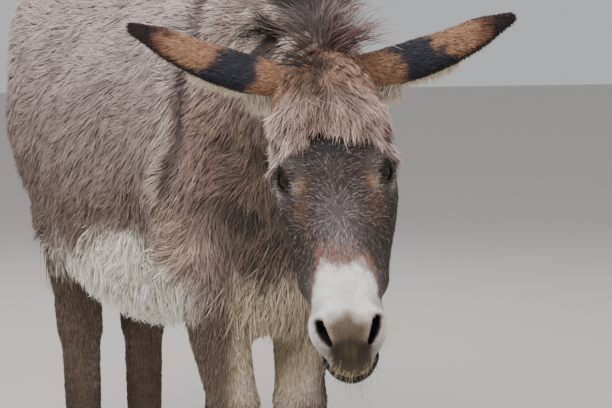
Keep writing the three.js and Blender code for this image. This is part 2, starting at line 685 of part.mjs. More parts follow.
// ---- Tail: a short-haired dock and the long tuft below it ----
const TAIL = [
  [480, 1064, 26], [538, 1056, 36], [578, 1004, 36], [588, 930, 32], [591, 840, 30], [592, 735, 28],
  [592, 745, 29], [594, 660, 38], [596, 570, 42], [594, 490, 34], [590, 440, 17],
];
function tailSolid(from, to) {
  const sides = 10;
  const rings = TAIL.slice(from, to).map(([y, z, radius], i) => {
    const [y0, z0] = TAIL[Math.max(from, from + i - 1)];
    const [y1, z1] = TAIL[Math.min(to - 1, from + i + 1)];
    const run = V(0, y1 - y0, z1 - z0).normalize();
    const rise = run.clone().cross(V(1, 0, 0));
    return Array.from({ length: sides }, (_, k) => {
      const angle = (2 * Math.PI * k) / sides;
      const lock = from > 0 && k % 2 ? 0.8 : 1;
      return V(0, y, z)
        .addScaledVector(V(1, 0, 0), radius * lock * Math.cos(angle))
        .addScaledVector(rise, radius * lock * 0.85 * Math.sin(angle));
    });
  });
  return loft(rings);
}
const TUFT_FROM = 740;
const below = (z) => beyond(V(0, 0, z), V(0, 0, -1));
const dock = tailSolid(0, 6).subtract(torsoRoom).subtract(below(TUFT_FROM + GAP));
place("tail_dock", largest(dock), FUR.body);
place("tail_tuft", largest(tailSolid(6, 11).intersect(below(TUFT_FROM))), FUR.dark);

// ---- Origin: the middle of the outline on the floor ----
const outline = new THREE.Box3().setFromObject(donkey);
const middle = outline.getCenter(V(0, 0, 0));
donkey.position.set(-middle.x, -middle.y, -outline.min.z);

export default donkey;
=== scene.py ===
"""A standing donkey, life-size, with its head lowered and turned to its right and its ears held out sideways.

Shapes are worked out in millimetres in the part's own frame (x to the animal's left, y to its rear, z up) or
in the head's frame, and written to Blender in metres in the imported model's frame.
"""

import bmesh
import bpy
import numpy as np
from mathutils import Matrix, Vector


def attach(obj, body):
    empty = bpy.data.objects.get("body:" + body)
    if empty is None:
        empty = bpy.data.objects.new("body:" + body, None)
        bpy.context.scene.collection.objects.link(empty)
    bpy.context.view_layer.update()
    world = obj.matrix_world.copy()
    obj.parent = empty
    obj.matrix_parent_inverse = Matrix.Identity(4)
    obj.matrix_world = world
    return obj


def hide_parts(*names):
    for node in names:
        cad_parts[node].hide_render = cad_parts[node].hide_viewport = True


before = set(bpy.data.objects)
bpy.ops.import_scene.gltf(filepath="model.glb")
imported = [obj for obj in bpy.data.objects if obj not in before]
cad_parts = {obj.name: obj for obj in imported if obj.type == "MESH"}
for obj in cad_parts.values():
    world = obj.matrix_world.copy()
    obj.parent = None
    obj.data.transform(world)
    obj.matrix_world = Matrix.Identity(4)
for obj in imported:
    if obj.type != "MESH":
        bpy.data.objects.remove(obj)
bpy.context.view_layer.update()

TO_FRAME = np.array((44.739, 175.235, 0.0))  # from the part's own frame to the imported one
rng = np.random.default_rng(20)

# ---- Flesh: the same implicit surface as the CAD solids, in millimetres and the part's own frame ----
HEAD_TURN, FACE_SLOPE, HEAD_ROLL = np.radians((28.0, 60.0, 5.0))
POLL = np.array((-111.0, -776.0, 974.0))
FORE_Y, HIND_Y = -350.0, 406.0
LEGS_PART_Y = 60.0  # between the fore and hind legs
SHIFT_FORE, SHIFT_HIND = 8.0, 32.0
TRACK_FORE, TRACK_HIND = 65.0, 70.0
SIDES = (1.0, -1.0)
SIDE_NAMES = {1.0: "left", -1.0: "right"}
ACROSS, UP = np.array((1.0, 0.0, 0.0)), np.array((0.0, 0.0, 1.0))
HEADING = np.array((-np.sin(HEAD_TURN), -np.cos(HEAD_TURN), 0.0))
HEAD_LEFT = np.array((np.cos(HEAD_TURN), -np.sin(HEAD_TURN), 0.0))
EYE = np.array((61.0, 187.0, 40.0))
EYE_RADIUS = 19.5
HEAD_NECK_BLEND = 46.0


def unit(v):
    v = np.asarray(v, float)
    return v / np.maximum(np.linalg.norm(v, axis=-1, keepdims=True), 1e-9)


def turned(v, axis, angle):
    axis = unit(axis)
    kept = axis * np.dot(axis, v) * (1 - np.cos(angle))
    return v * np.cos(angle) + np.cross(axis, v) * np.sin(angle) + kept


def head_axes():
    nose = HEADING * np.cos(FACE_SLOPE) + np.array((0.0, 0.0, -np.sin(FACE_SLOPE)))
    jaw = np.cross(HEAD_LEFT, nose)
    return np.array([turned(v, HEADING, HEAD_ROLL) for v in (HEAD_LEFT, nose, jaw)])


HEAD = head_axes()  # rows: the animal's left, along the face to the nose, depth towards the jaw


def to_head(p):
    return (p - POLL) @ HEAD.T


def from_head(q):
    return np.asarray(q, float) @ HEAD + POLL


def ellipsoid(centre, radii):
    """The distance field of an ellipsoid."""
    c, r = np.array(centre, float), np.array(radii, float)

    def shape(p):
        d = (p - c) / r
        k = np.sqrt((d * d).sum(1))
        g = np.sqrt(((d / r) ** 2).sum(1))
        return np.where(g < 1e-9, -r.min(), k * (k - 1) / np.maximum(g, 1e-9))

    return shape


def taper(a, ra, b, rb, flat=None, ratio=1.0):
    """The distance field of a round-ended cone from a to b, narrowed along `flat` by `ratio`."""
    a, ab = np.array(a, float), np.array(b, float) - np.array(a, float)
    length2 = ab @ ab

    def shape(p):
        d = p - a
        t = np.clip(d @ ab / length2, 0, 1)
        d = d - t[:, None] * ab
        if flat is not None:
            d = d + np.outer(d @ flat * (1 / ratio - 1), flat)
        return np.sqrt((d * d).sum(1)) - (ra + (rb - ra) * t)

    return shape


def blend_min(a, b, k):
    h = np.maximum(k - np.abs(a - b), 0) / k
    return np.minimum(a, b) - h * h * k / 4


def blended(parts, p):
    """The union of (shape, blend) pairs, each blended into those before it."""
    d = parts[0][0](p)
    for shape, k in parts[1:]:
        d = blend_min(d, shape(p), k)
    return d


def head_parts():
    parts = [
        (ellipsoid((0, 92, 74), (76, 106, 80)), 1),  # braincase
        (taper((0, 60, 72), 66, (0, 200, 70), 68, ACROSS, 1.05), 40),
        (taper((0, 190, 68), 66, (0, 400, 62), 46, ACROSS, 1.08), 40),  # nasal bones
        (taper((0, 180, 184), 44, (0, 400, 118), 29, ACROSS, 1.15), 40),  # jaw bars
        (ellipsoid((0, 424, 64), (47, 46, 47)), 30),
        (ellipsoid((0, 456, 86), (35, 26, 33)), 22),
        (ellipsoid((0, 436, 124), (34, 40, 26)), 14),  # chin
    ]
    for s in SIDES:
        parts += [
            (ellipsoid((s * 57, 168, 58), (30, 50, 40)), 24),  # eye socket
            (ellipsoid((s * 46, 176, 132), (38, 108, 88)), 34),  # cheek
            (taper((s * 57, 205, 88), 26, (s * 44, 330, 88), 20), 34),  # facial crest
            (ellipsoid((s * 37, 414, 56), (20, 31, 30)), 16),  # nostril's side
        ]
    return parts


def trunk_parts():
    parts = [
        (ellipsoid((0, 60, 805), (214, 440, 314)), 1),  # barrel
        (ellipsoid((0, 90, 722), (214, 345, 268)), 60),  # belly
        (ellipsoid((0, -270, 820), (168, 220, 290)), 90),  # chest
        (ellipsoid((0, -205, 1035), (60, 190, 114)), 80),  # withers
        (ellipsoid((0, 312, 920), (168, 236, 252)), 90),  # rump
        (ellipsoid((0, -320, 610), (96, 150, 140)), 60),  # brisket
    ]
    for s in SIDES:
        parts += [
            (ellipsoid((s * 104, -275, 840), (78, 125, 220)), 60),  # shoulder blade
            (ellipsoid((s * 52, -425, 765), (76, 78, 125)), 60),  # point of the shoulder
            (ellipsoid((s * 113, 352, 992), (101, 165, 148)), 60),  # hip
            (ellipsoid((s * 93, 430, 855), (94, 122, 190)), 60),  # buttock
        ]
    return parts


def neck_parts():
    middle, end = (-22, -540, 905), (-66, -680, 893)
    across = np.array((0.93, -0.36, 0.0))
    return [
        (taper((0, -330, 900), 205, middle, 148, ACROSS, 0.56), 90),
        (taper(middle, 148, end, 124, across, 0.62), 60),
    ]


def fore_leg_parts(s):
    def at(out):
        return s * out + SHIFT_FORE

    x, y = at(TRACK_FORE), FORE_Y
    return [
        (taper((s * 114, y + 35, 740), 84, (s * 104, y + 48, 630), 74), 60),  # upper arm
        (taper((s * 99, y + 30, 620), 70, (at(66), y + 2, 375), 48), 40),  # forearm
        (ellipsoid((at(66), y, 335), (50, 51, 64)), 30),  # knee
        (taper((at(66), y + 6, 310), 40, (x, y + 10, 180), 37), 26),  # cannon
        (ellipsoid((x, y + 12, 148), (42, 46, 36)), 18),  # fetlock
        (taper((x, y + 8, 140), 37, (x, y - 18, 70), 38), 18),  # pastern
    ]


def hind_leg_parts(s):
    def at(out, drop):
        return s * out + SHIFT_HIND * drop

    x, y = at(TRACK_HIND, 1), HIND_Y
    return [
        (taper((at(104, 0), y - 20, 830), 146, (at(108, 0), y - 96, 680), 110, ACROSS, 0.63), 60),  # thigh
        (ellipsoid((at(116, 0.1), y - 128, 670), (62, 74, 92)), 50),  # stifle
        (taper((at(94, 0), y + 36, 800), 92, (at(86, 0.5), y + 42, 585), 48, ACROSS, 0.8), 50),
        (taper((at(104, 0.3), y - 74, 630), 90, (at(78, 0.9), y + 22, 455), 60, ACROSS, 0.88), 50),  # gaskin
        (ellipsoid((at(73, 1), y + 38, 405), (52, 56, 60)), 30),  # hock
        (taper((at(73, 1), y + 60, 415), 36, (at(73, 1), y + 78, 452), 27), 20),  # point of the hock
        (taper((at(73, 1), y + 76, 450), 24, (at(88, 0.6), y + 26, 580), 38), 40),  # tendon
        (taper((at(72, 1), y + 32, 370), 47, (x, y + 24, 190), 41), 26),  # cannon
        (ellipsoid((x, y + 24, 148), (44, 48, 37)), 18),  # fetlock
        (taper((x, y + 18, 140), 38, (x, y - 8, 70), 38), 18),  # pastern
    ]


HEAD_PARTS = head_parts()
TEMPLES = [ellipsoid((s * 80, 118, 48), (12, 22, 16)) for s in SIDES]
BODY_PARTS = trunk_parts() + neck_parts()
for side in SIDES:
    BODY_PARTS += fore_leg_parts(side) + hind_leg_parts(side)


def head_flesh(q):
    d = blended(HEAD_PARTS, q)
    for temple in TEMPLES:
        d = -blend_min(-d, temple(q), 18)
    return d


def flesh(p):
    return blend_min(blended(BODY_PARTS, p), head_flesh(to_head(p)), HEAD_NECK_BLEND)


# ---- Skin: the flesh drawn in by the coat's depth, with the folds of the head ----
def ramp(a, b, x):
    """A smooth step from 0 at a to 1 at b."""
    t = np.clip((x - a) / (b - a), 0, 1)
    return t * t * (3 - 2 * t)


def mix(a, b, t):
    return a + (b - a) * t


def bump(x, centre, width):
    return np.exp(-(((x - centre) / width) ** 2))


def head_weight(q):
    """0 on the body and 1 on the head, across the line from poll to throat."""
    ahead = 0.88 * (q[:, 1] + 12) - 0.475 * (q[:, 2] - 40)
    near = ramp(330, 270, q[:, 2]) * ramp(240, 200, np.abs(q[:, 0]))
    return ramp(-55, 20, ahead) * near


def leg_weight(p):
    fore = ramp(190, 120, np.abs(p[:, 1] - FORE_Y))
    hind = ramp(230, 150, np.abs(p[:, 1] - HIND_Y - 10))
    return np.maximum(fore, hind) * ramp(610, 430, p[:, 2])


def coat_depth(p, q):
    """How far the skin lies under the outline of the coat."""
    body = mix(19.0, 7.0, leg_weight(p))
    body = mix(body, 5.0, leg_weight(p) * ramp(330, 200, p[:, 2]))
    face = mix(4.5, 1.5, ramp(290, 390, q[:, 1]))
    face = mix(face, 9.0, ramp(120, 190, q[:, 2]) * ramp(330, 250, q[:, 1]))
    return mix(body, face, head_weight(q))


EYE_AT = {s: EYE * (s, 1, 1) for s in SIDES}
EYE_DROOP = np.radians(20)  # of the slit's line towards the nose
LID_THICKNESS = 3.8
SLIT_HALF, SLIT_OPEN = 17.5, 9.5
UPPER_FOLDS = ((15.5, 1.5), (22.0, 1.2), (28.0, 0.9))  # distance from the eye's middle, depth
LOWER_FOLDS = ((15.0, 1.2), (21.0, 0.9))
NOSTRIL = ((41, 417, 22), (39.5, 427, 23), (35.5, 437, 26), (30, 446, 30))  # a comma, from its top
NOSTRIL_RADIUS = (5.4, 7.0, 6.0, 4.0)
NOSTRIL_DEPTH = 30.0
ALAR_FOLD = (np.array((23.0, 378.0)), np.array((46.0, 409.0)))  # x and y, from the nose to the nostril
MOUTH_LINE = ((385, 410, 440, 465, 478, 500), (116, 106, 88, 75, 68, 66))  # along the face, depth below it


def eye_axes(s):
    """The eye's own axes on side s: along its slit to the nose, across it to the brow, and its gaze."""
    gaze = unit(np.array((s * 0.74, 0.1, -0.66)))
    along = np.array((0.0, np.cos(EYE_DROOP), -np.sin(EYE_DROOP)))
    along = unit(along - gaze * (along @ gaze))
    across = np.cross(gaze, along)
    if across[2] > 0:
        across = -across
    return along, across, gaze


def eye_place(q, s):
    """Points on the eye's axes (u along, w across, g gaze), and how far they are from its middle."""
    v = q - EYE_AT[s]
    u, w, g = (v @ axis for axis in eye_axes(s))
    return u, w, g, np.sqrt((v**2).sum(1))


def from_eye(s, u, w, g):
    along, across, gaze = eye_axes(s)
    return from_head(EYE_AT[s] + u[:, None] * along + w[:, None] * across + g[:, None] * gaze)


def slit_height(u):
    return SLIT_OPEN * np.clip(1 - (u / SLIT_HALF) ** 2, 0, None) ** 0.75


def mouth_depth(y):
    return np.interp(y, *MOUTH_LINE)


def polyline_distance(q, line, radii):
    d = np.full(len(q), 1e4)
    for a, b, ra, rb in zip(line[:-1], line[1:], radii[:-1], radii[1:]):
        ab = b - a
        t = np.clip((q - a) @ ab / (ab @ ab), 0, 1)
        away = q - a - t[:, None] * ab
        d = np.minimum(d, np.sqrt((away**2).sum(1)) - (ra + (rb - ra) * t))
    return d


def nostril_field(q, s):
    """Distance to the walls of a comma-shaped passage into the muzzle, and depth along it."""
    inward = unit(np.array((-s * 0.25, -0.45, 0.86)))
    line = np.array(NOSTRIL) * (s, 1, 1)
    depth = (q - line[1]) @ inward
    flat = q - depth[:, None] * inward
    flat_line = line - ((line - line[1]) @ inward)[:, None] * inward
    return polyline_distance(flat, flat_line, np.array(NOSTRIL_RADIUS)), depth


def lips_and_folds(f, x, y, z):
    """The mouth's line and the lips, then the folds and hollows of the nose and the cheeks."""
    slit = z - mouth_depth(y)
    near_mouth = ramp(388, 410, y) * ramp(60, 20, np.abs(f)) * ramp(388, 402, y)
    f = f + near_mouth * (5.5 * bump(slit, 0, 3.0) - 2.6 * bump(slit, -8, 5) - 2.2 * bump(slit, 9, 6))
    f = f + 2.2 * bump(x, 0, 3.2) * ramp(440, 462, y) * ramp(62, 50, z)
    f = f - 1.6 * bump(x, 9, 5) * ramp(445, 462, y) * ramp(66, 56, z)
    for fold in (9.0, 18.0, 27.0):
        f = f + 0.9 * bump(x, fold, 1.8) * ramp(418, 432, y) * ramp(462, 450, y) * ramp(60, 40, z)
    away, run = np.stack((x, y), 1) - ALAR_FOLD[0], ALAR_FOLD[1] - ALAR_FOLD[0]
    off = away - np.clip(away @ run / (run @ run), 0, 1)[:, None] * run
    f = f - 3.6 * bump(np.sqrt((off**2).sum(1)), 0, 5.5) * ramp(62, 40, z)
    f = f + 3.4 * bump(np.hypot(x - 45, y - 386), 0, 12) * ramp(70, 40, z)
    f = f + 2.4 * bump(y, 424, 30) * ramp(36, 48, x)
    f = f + 8.0 * bump(y, 456, 17) * ramp(21, 36, x) * ramp(24, 44, z) * ramp(96, 78, z)
    f = f - 5.0 * bump(x, 0, 22) * ramp(458, 476, y) * ramp(40, 60, z)
    f = f + 3.5 * bump(x, 45, 13) * bump(y, 285, 48) * ramp(60, 30, z)
    f = f - 2.5 * bump(x, 60, 14) * bump(y, 240, 40) * bump(z, 70, 16)
    return f + 3.0 * bump(y, 232, 22) * bump(x, 52, 12) * ramp(48, 20, z)


def with_nostril(f, q, s):
    """Raises the wing of one nostril and cuts its passage."""
    mine = q[:, 0] * s > 8
    around, depth = nostril_field(q, s)
    wing = np.sqrt((around - 4.5) ** 2 + (0.8 * f) ** 2) - 3.4
    wing = np.where(mine & (np.abs(depth) < 45), wing, 50.0)
    f = blend_min(f, wing, 6.0)
    hole = np.maximum(around, depth - NOSTRIL_DEPTH)
    hole = np.maximum(hole, -depth - 45.0)
    return np.where(mine, -blend_min(-f, hole, 6.0), f)


def with_eye(f, q, s):
    """Lays lids over one eye, a brow above it and folds round it, and opens the lids along the slit."""
    u, w, g, r = eye_place(q, s)
    by_eye = r < 70
    lid = r - (EYE_RADIUS + LID_THICKNESS)
    f = np.where(by_eye, blend_min(f, lid, 9.0), f)
    brow = np.sqrt((u + 4) ** 2 / 2.6 + (w - 21) ** 2 + (g - 13) ** 2) - 6.5
    f = np.where(by_eye, blend_min(f, brow, 16.0), f)
    front = ramp(2, 10, g) * by_eye
    for way, narrowed, folds in ((1, 0.62, UPPER_FOLDS), (-1, 0.66, LOWER_FOLDS)):
        for fold, deep in folds:
            f = f + front * deep * bump(np.hypot(u * narrowed, w), fold, 1.7) * ramp(2 * way, 8 * way, w)
    opening = np.maximum(np.abs(w + 0.5) - slit_height(u), 8.5 - g)
    f = np.where(by_eye, -blend_min(-f, opening, 1.6), f)
    return np.where(by_eye, np.maximum(f, EYE_RADIUS + 0.4 - r), f)


def head_details(f, q):
    f = lips_and_folds(f, np.abs(q[:, 0]), q[:, 1], q[:, 2])
    for s in SIDES:
        f = with_eye(with_nostril(f, q, s), q, s)
    return f


def skin(p):
    q = to_head(p)
    f = blend_min(blended(BODY_PARTS, p), head_flesh(q), HEAD_NECK_BLEND)
    f = f + coat_depth(p, q)
    near = (np.abs(f) < 60) & (q[:, 2] < 260) & (np.abs(q[:, 0]) < 140) & (q[:, 1] > 60) & (q[:, 1] < 560)
    if near.any():
        f[near] = head_details(f[near], q[near])
    return f


def head_skin(q):
    return skin(from_head(q))


# ---- Surface nets ----
CUBE = [(a, b, c) for a in (0, 1) for b in (0, 1) for c in (0, 1)]
NET_STRIDE = 4  # cells between the samples of the first, coarse pass


def gradient(field, p, h=0.6):
    g = np.empty_like(p)
    for i in range(3):
        step = np.zeros(3)
        step[i] = h
        g[:, i] = (field(p + step) - field(p - step)) / (2 * h)
    return g


def drawn_onto(field, start, limit, steps=2):
    p = start.copy()
    for _ in range(steps):
        g = gradient(field, p)
        p -= g * (field(p) / np.maximum((g * g).sum(1), 0.05))[:, None]
    moved = p - start
    length = np.sqrt((moved**2).sum(1, keepdims=True))
    return start + moved * np.minimum(1, limit / np.maximum(length, 1e-9))


def sampled(field, low, high, cell):
    """The field at the corners of a grid of cells, exact near the surface and rough elsewhere."""
    n = np.ceil((np.array(high, float) - low) / cell).astype(int) + 1
    m = -(-n // NET_STRIDE) + 1
    coarse_axes = [low[i] + cell * NET_STRIDE * np.arange(m[i]) for i in range(3)]
    grid = np.stack(np.meshgrid(*coarse_axes, indexing="ij"), -1).reshape(-1, 3)
    coarse = field(grid).reshape(m)
    nearest = [np.minimum(np.round(np.arange(n[i]) / NET_STRIDE).astype(int), m[i] - 1) for i in range(3)]
    value = coarse[np.ix_(*nearest)]
    near = np.argwhere(np.abs(value) < cell * NET_STRIDE * 1.3)
    for part in np.array_split(near, max(1, len(near) // 200000)):
        value[tuple(part.T)] = field(low + cell * part)
    return value


def middle_of_crossings(value, cells):
    """The mean place, from 0 to 1 in each cell, of the points where the surface crosses the cell's edges."""
    total, crossings = np.zeros((len(cells), 3)), np.zeros(len(cells))
    for a in CUBE:
        for axis in range(3):
            if a[axis]:
                continue
            b = tuple(1 if i == axis else a[i] for i in range(3))
            va, vb = value[tuple((cells + a).T)], value[tuple((cells + b).T)]
            crossed = (va < 0) != (vb < 0)
            t = np.where(crossed, va / np.where(crossed, va - vb, 1), 0)
            point = np.array(a, float) + np.eye(3)[axis] * t[:, None]
            total += point * crossed[:, None]
            crossings += crossed
    return total / crossings[:, None]


def net_quads(inside, ids):
    """A quad for each grid edge that crosses the surface, joining the vertices of its four cells."""
    n = inside.shape
    quads = []
    for axis in range(3):
        first, second = (axis + 1) % 3, (axis + 2) % 3
        here = np.take(inside, range(n[axis] - 1), axis)
        there = np.take(inside, range(1, n[axis]), axis)
        at = np.argwhere(here != there)
        for other in (first, second):
            at = at[(at[:, other] > 0) & (at[:, other] < n[other] - 1)]
        ring = []
        for da, db in ((-1, -1), (0, -1), (0, 0), (-1, 0)):
            c = at.copy()
            c[:, first] += da
            c[:, second] += db
            ring.append(ids[tuple(c.T)])
        ring = np.stack(ring, 1)
        outward = here[tuple(at.T)]
        quads.append(np.where(outward[:, None], ring, ring[:, ::-1]))
    return np.concatenate(quads)


def surface_net(field, low, high, cell):
    """A quad mesh with one vertex in each cell that the surface crosses."""
    low = np.array(low, float)
    value = sampled(field, low, high, cell)
    inside = value < 0
    n = np.array(value.shape)
    count = np.zeros(n - 1, np.uint8)
    for a, b, c in CUBE:
        count += inside[a : n[0] - 1 + a, b : n[1] - 1 + b, c : n[2] - 1 + c]
    active = (count > 0) & (count < 8)
    cells = np.argwhere(active)
    verts = low + cell * (cells + middle_of_crossings(value, cells))
    ids = np.full(n - 1, -1)
    ids[active] = np.arange(len(cells))
    return drawn_onto(field, verts, cell * 0.6), net_quads(inside, ids)


# ---- Mesh helpers ----
def to_metres(p):
    return (p + TO_FRAME) / 1000.0


def set_mesh(me, verts, faces):
    """Fills a mesh from points in mm and lists of equal-sided faces."""
    sides = np.concatenate([np.full(len(f), f.shape[1]) for f in faces])
    loops = np.concatenate([f.reshape(-1) for f in faces])
    starts = np.concatenate(((0,), np.cumsum(sides)[:-1]))
    me.vertices.add(len(verts))
    me.vertices.foreach_set("co", to_metres(verts).astype(np.float32).reshape(-1))
    me.loops.add(len(loops))
    me.loops.foreach_set("vertex_index", loops.astype(np.int32))
    me.polygons.add(len(sides))
    me.polygons.foreach_set("loop_start", starts.astype(np.int32))
    me.update(calc_edges=True)
    me.shade_smooth()


def face_groups(faces):
    groups = {}
    for f in faces:
        groups.setdefault(f.shape[1], []).append(f)
    return [np.concatenate(g) for g in groups.values()]


def facing_out(name, points, faces):
    """A mesh from points in mm and lists of faces, with every face turned outwards."""
    me = bpy.data.meshes.new(name)
    set_mesh(me, points, face_groups(faces))
    bm = bmesh.new()
    bm.from_mesh(me)
    bmesh.ops.recalc_face_normals(bm, faces=bm.faces)
    bm.to_mesh(me)
    bm.free()
    me.update()
    me.shade_smooth()
    return me


def ring_quads(rings, sides):
    """Quads between rings of points that each close on themselves."""
    k, i = (a.reshape(-1) for a in np.meshgrid(np.arange(rings - 1), np.arange(sides), indexing="ij"))
    j = (i + 1) % sides
    return np.stack((k * sides + i, k * sides + j, (k + 1) * sides + j, (k + 1) * sides + i), 1)


def tube_quads(rings, sides):
    """Ring quads with a strip of quads across each end."""
    i = np.arange(sides // 2 - 1)
    strip = np.stack((i, i + 1, sides - 2 - i, sides - 1 - i), 1)
    return np.concatenate((ring_quads(rings, sides), strip, strip[:, ::-1] + (rings - 1) * sides))


def ring_angles(sides):
    return np.linspace(0, 2 * np.pi, sides, endpoint=False)


def points_of(me):
    co = np.empty(len(me.vertices) * 3, np.float32)
    me.vertices.foreach_get("co", co)
    return co.reshape(-1, 3).astype(float) * 1000.0 - TO_FRAME


def paint(me, colours):
    """Stores one linear colour for each vertex."""
    layer = me.color_attributes.new("coat", "FLOAT_COLOR", "POINT")
    rgba = np.ones((len(colours), 4), np.float32)
    rgba[:, :3] = colours
    layer.data.foreach_set("color", rgba.reshape(-1))


def add_object(name, me, material):
    me.materials.append(material)
    ob = bpy.data.objects.new(name, me)
    bpy.context.scene.collection.objects.link(ob)
    return ob


def add_piece(name, me, material, nodes=()):
    """Adds a mesh as a piece that rides the root and takes the place of the named CAD nodes."""
    ob = add_object(name, me, material)
    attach(ob, "root")
    if nodes:
        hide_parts(*nodes)


# ---- One skin: a fine net for the head, a coarser one for the body, sewn together round the neck ----
HEAD_CELL, BODY_CELL = 3.2, 9.5
SEAM_NORMAL = unit((0.0, 0.88, -0.475))
SEAM_AT = np.array((0.0, -12.0, 40.0))
SEAM_BACK = -40.0  # mm behind the poll-to-throat line
SEAM_WIDTH = 8.0
SEAM_DEPTH = 335.0  # beyond this towards the jaw the seam's plane meets the chest
SEAM_REACH = 40.0  # mm from the plane within which faces are cut


def seam_distance(p):
    return (to_head(p) - SEAM_AT) @ SEAM_NORMAL - SEAM_BACK


def by_head(q):
    return (q[..., 2] < SEAM_DEPTH) & (np.abs(q[..., 0]) < 230)


def cut_open(verts, quads, keep_ahead, offset):
    """Cuts a net along the seam's plane and returns it with the vertices of the open edge."""
    me = bpy.data.meshes.new("cut")
    set_mesh(me, verts, [quads])
    bm = bmesh.new()
    bm.from_mesh(me)
    bpy.data.meshes.remove(me)
    normal = SEAM_NORMAL @ HEAD
    point = to_metres(from_head(SEAM_AT) + normal * (SEAM_BACK + offset))

    def measure(v):
        p = np.array(v.co) * 1000.0 - TO_FRAME
        return seam_distance(p[None])[0] - offset, by_head(to_head(p))

    def beyond(v):
        d, ok = measure(v)
        return d < -0.02 if keep_ahead else ok and d > 0.02

    def on_seam(v):
        d, ok = measure(v)
        return ok and abs(d) < 0.05

    places = {v: measure(v) for v in bm.verts}
    near = {v for v, (d, ok) in places.items() if ok and abs(d) < SEAM_REACH}
    faces = [f for f in bm.faces if all(v in near for v in f.verts)]
    edges = {e for f in faces for e in f.edges}
    corners = {v for f in faces for v in f.verts}
    cut = faces + list(edges) + list(corners)
    bmesh.ops.bisect_plane(bm, geom=cut, dist=1e-7, plane_co=Vector(point), plane_no=Vector(normal))
    bmesh.ops.delete(bm, geom=[v for v in bm.verts if beyond(v)], context="VERTS")
    bm.verts.index_update()
    bm.verts.ensure_lookup_table()
    rim = [e for e in bm.edges if e.is_boundary and all(on_seam(v) for v in e.verts)]
    ring = sorted({v.index for e in rim for v in e.verts})
    points = np.array([v.co for v in bm.verts]) * 1000.0 - TO_FRAME
    groups = {}
    for f in bm.faces:
        groups.setdefault(len(f.verts), []).append([v.index for v in f.verts])
    bm.free()
    return points, [np.array(g) for g in groups.values()], np.array(ring)


def sewn_band(points, ring_a, ring_b):
    """Triangles between two rings, each put in order by angle round their common middle."""
    normal = SEAM_NORMAL @ HEAD
    u = unit(np.cross(normal, ACROSS))
    v = np.cross(normal, u)
    centre = points[ring_a].mean(0)

    def ordered(ring):
        away = points[ring] - centre
        angle = np.arctan2(away @ v, away @ u)
        order = np.argsort(angle)
        return ring[order], angle[order]

    a, angle_a = ordered(ring_a)
    b, angle_b = ordered(ring_b)
    triangles = []
    i = j = 0
    while i < len(a) or j < len(b):
        next_a = angle_a[i + 1] if i + 1 < len(a) else 9.0 + (i >= len(a))
        next_b = angle_b[j + 1] if j + 1 < len(b) else 9.0 + (j >= len(b))
        if next_a <= next_b:
            triangles.append((a[i], a[(i + 1) % len(a)], b[j % len(b)]))
            i += 1
        else:
            triangles.append((a[i % len(a)], b[(j + 1) % len(b)], b[j]))
            j += 1
    return np.array(triangles)


def sewn_skin():
    """The points and faces of the head and the body as one closed skin."""
    fine, fine_quads = surface_net(head_skin, (-150, -120, -40), (135, 512, 350), HEAD_CELL)
    coarse, coarse_quads = surface_net(skin, (-240, -980, 20), (240, 610, 1240), BODY_CELL)
    head_points, head_faces, head_ring = cut_open(from_head(fine), fine_quads, True, 0.0)
    body_points, body_faces, body_ring = cut_open(coarse, coarse_quads, False, -SEAM_WIDTH)
    first = len(head_points)
    points = np.concatenate((head_points, body_points))
    band = sewn_band(points, head_ring, body_ring + first)
    return points, head_faces + [f + first for f in body_faces] + [band]


# ---- Markings, shared by the skin and the coat ----
def srgb(r, g, b):
    c = np.array((r, g, b), float) / 255.0
    return np.where(c <= 0.04045, c / 12.92, ((c + 0.055) / 1.055) ** 2.4)


# The body's tones by height: lighter at the top as painted light from above, darker low on the flanks as
# painted shade
LIT_BODY_TOP, BODY_MID, SHADED_BODY_LOW = srgb(186, 169, 166), srgb(152, 132, 127), srgb(119, 99, 91)
SHOULDER, NECK_DARK, THROAT = srgb(149, 124, 114), srgb(120, 98, 87), srgb(110, 93, 83)
STRIPE, CREAM, CHEST = srgb(70, 51, 51), srgb(243, 235, 223), srgb(182, 163, 140)
LEG, LEG_LOW, LEG_INSIDE = srgb(100, 81, 69), srgb(76, 60, 50), srgb(188, 174, 158)
ELBOW, RIDGE, NECK_RUST = srgb(184, 158, 142), srgb(196, 178, 168), srgb(150, 116, 98)
CHESTNUT, CREST_PALE = srgb(62, 54, 50), srgb(216, 200, 187)
# The second is a painted shadow under the forelock
FACE_DARK, FORELOCK_SHADOW, FACE_GREY = srgb(60, 48, 45), srgb(30, 23, 23), srgb(104, 94, 95)
CHEEK, RUST, EDGE, WHITE = srgb(52, 41, 37), srgb(112, 80, 62), srgb(138, 100, 84), srgb(247, 245, 242)
JAW, NOSE, NOSE_PINK, LIP = srgb(150, 130, 114), srgb(96, 80, 66), srgb(158, 138, 124), srgb(54, 44, 32)
LIP_RIM, LIP_SIDE, LOWER_LIP = srgb(166, 144, 102), srgb(128, 118, 108), srgb(18, 14, 14)
# The last two are painted shade: grey in the muzzle's hollows, dark brown in its creases
OLIVE, OCHRE, HOLLOW_SHADE_AND_GREY, CREASE_SHADE = srgb(88, 76, 58), srgb(104, 88, 60), srgb(158, 148, 141), srgb(44, 36, 28)
# The first is painted shade inside the nostrils
NOSTRIL_SHADE, LID = srgb(12, 9, 9), srgb(20, 16, 15)
UNDER_EYE, EYE_CORNER = srgb(158, 146, 138), srgb(160, 112, 74)
EAR_TAN, POLL_TAN = srgb(158, 118, 91), srgb(152, 118, 97)
EAR_BAND, EAR_RED, EAR_TIP = srgb(44, 44, 54), srgb(88, 52, 38), srgb(34, 19, 16)
EAR_INSIDE, EAR_LINING = srgb(150, 122, 102), srgb(216, 203, 180)
FACE_HAIR = srgb(176, 167, 169)
WOOL_BROWN, WOOL_PALE, WOOL_DARK = srgb(174, 143, 130), srgb(204, 185, 179), srgb(72, 52, 47)
MANE_BLACK, MANE_BROWN, MANE_RED = srgb(32, 25, 28), srgb(84, 60, 57), srgb(112, 82, 79)
WHISKER_PALE, WHISKER_DARK, LASH = srgb(186, 174, 152), srgb(70, 58, 50), srgb(26, 20, 18)
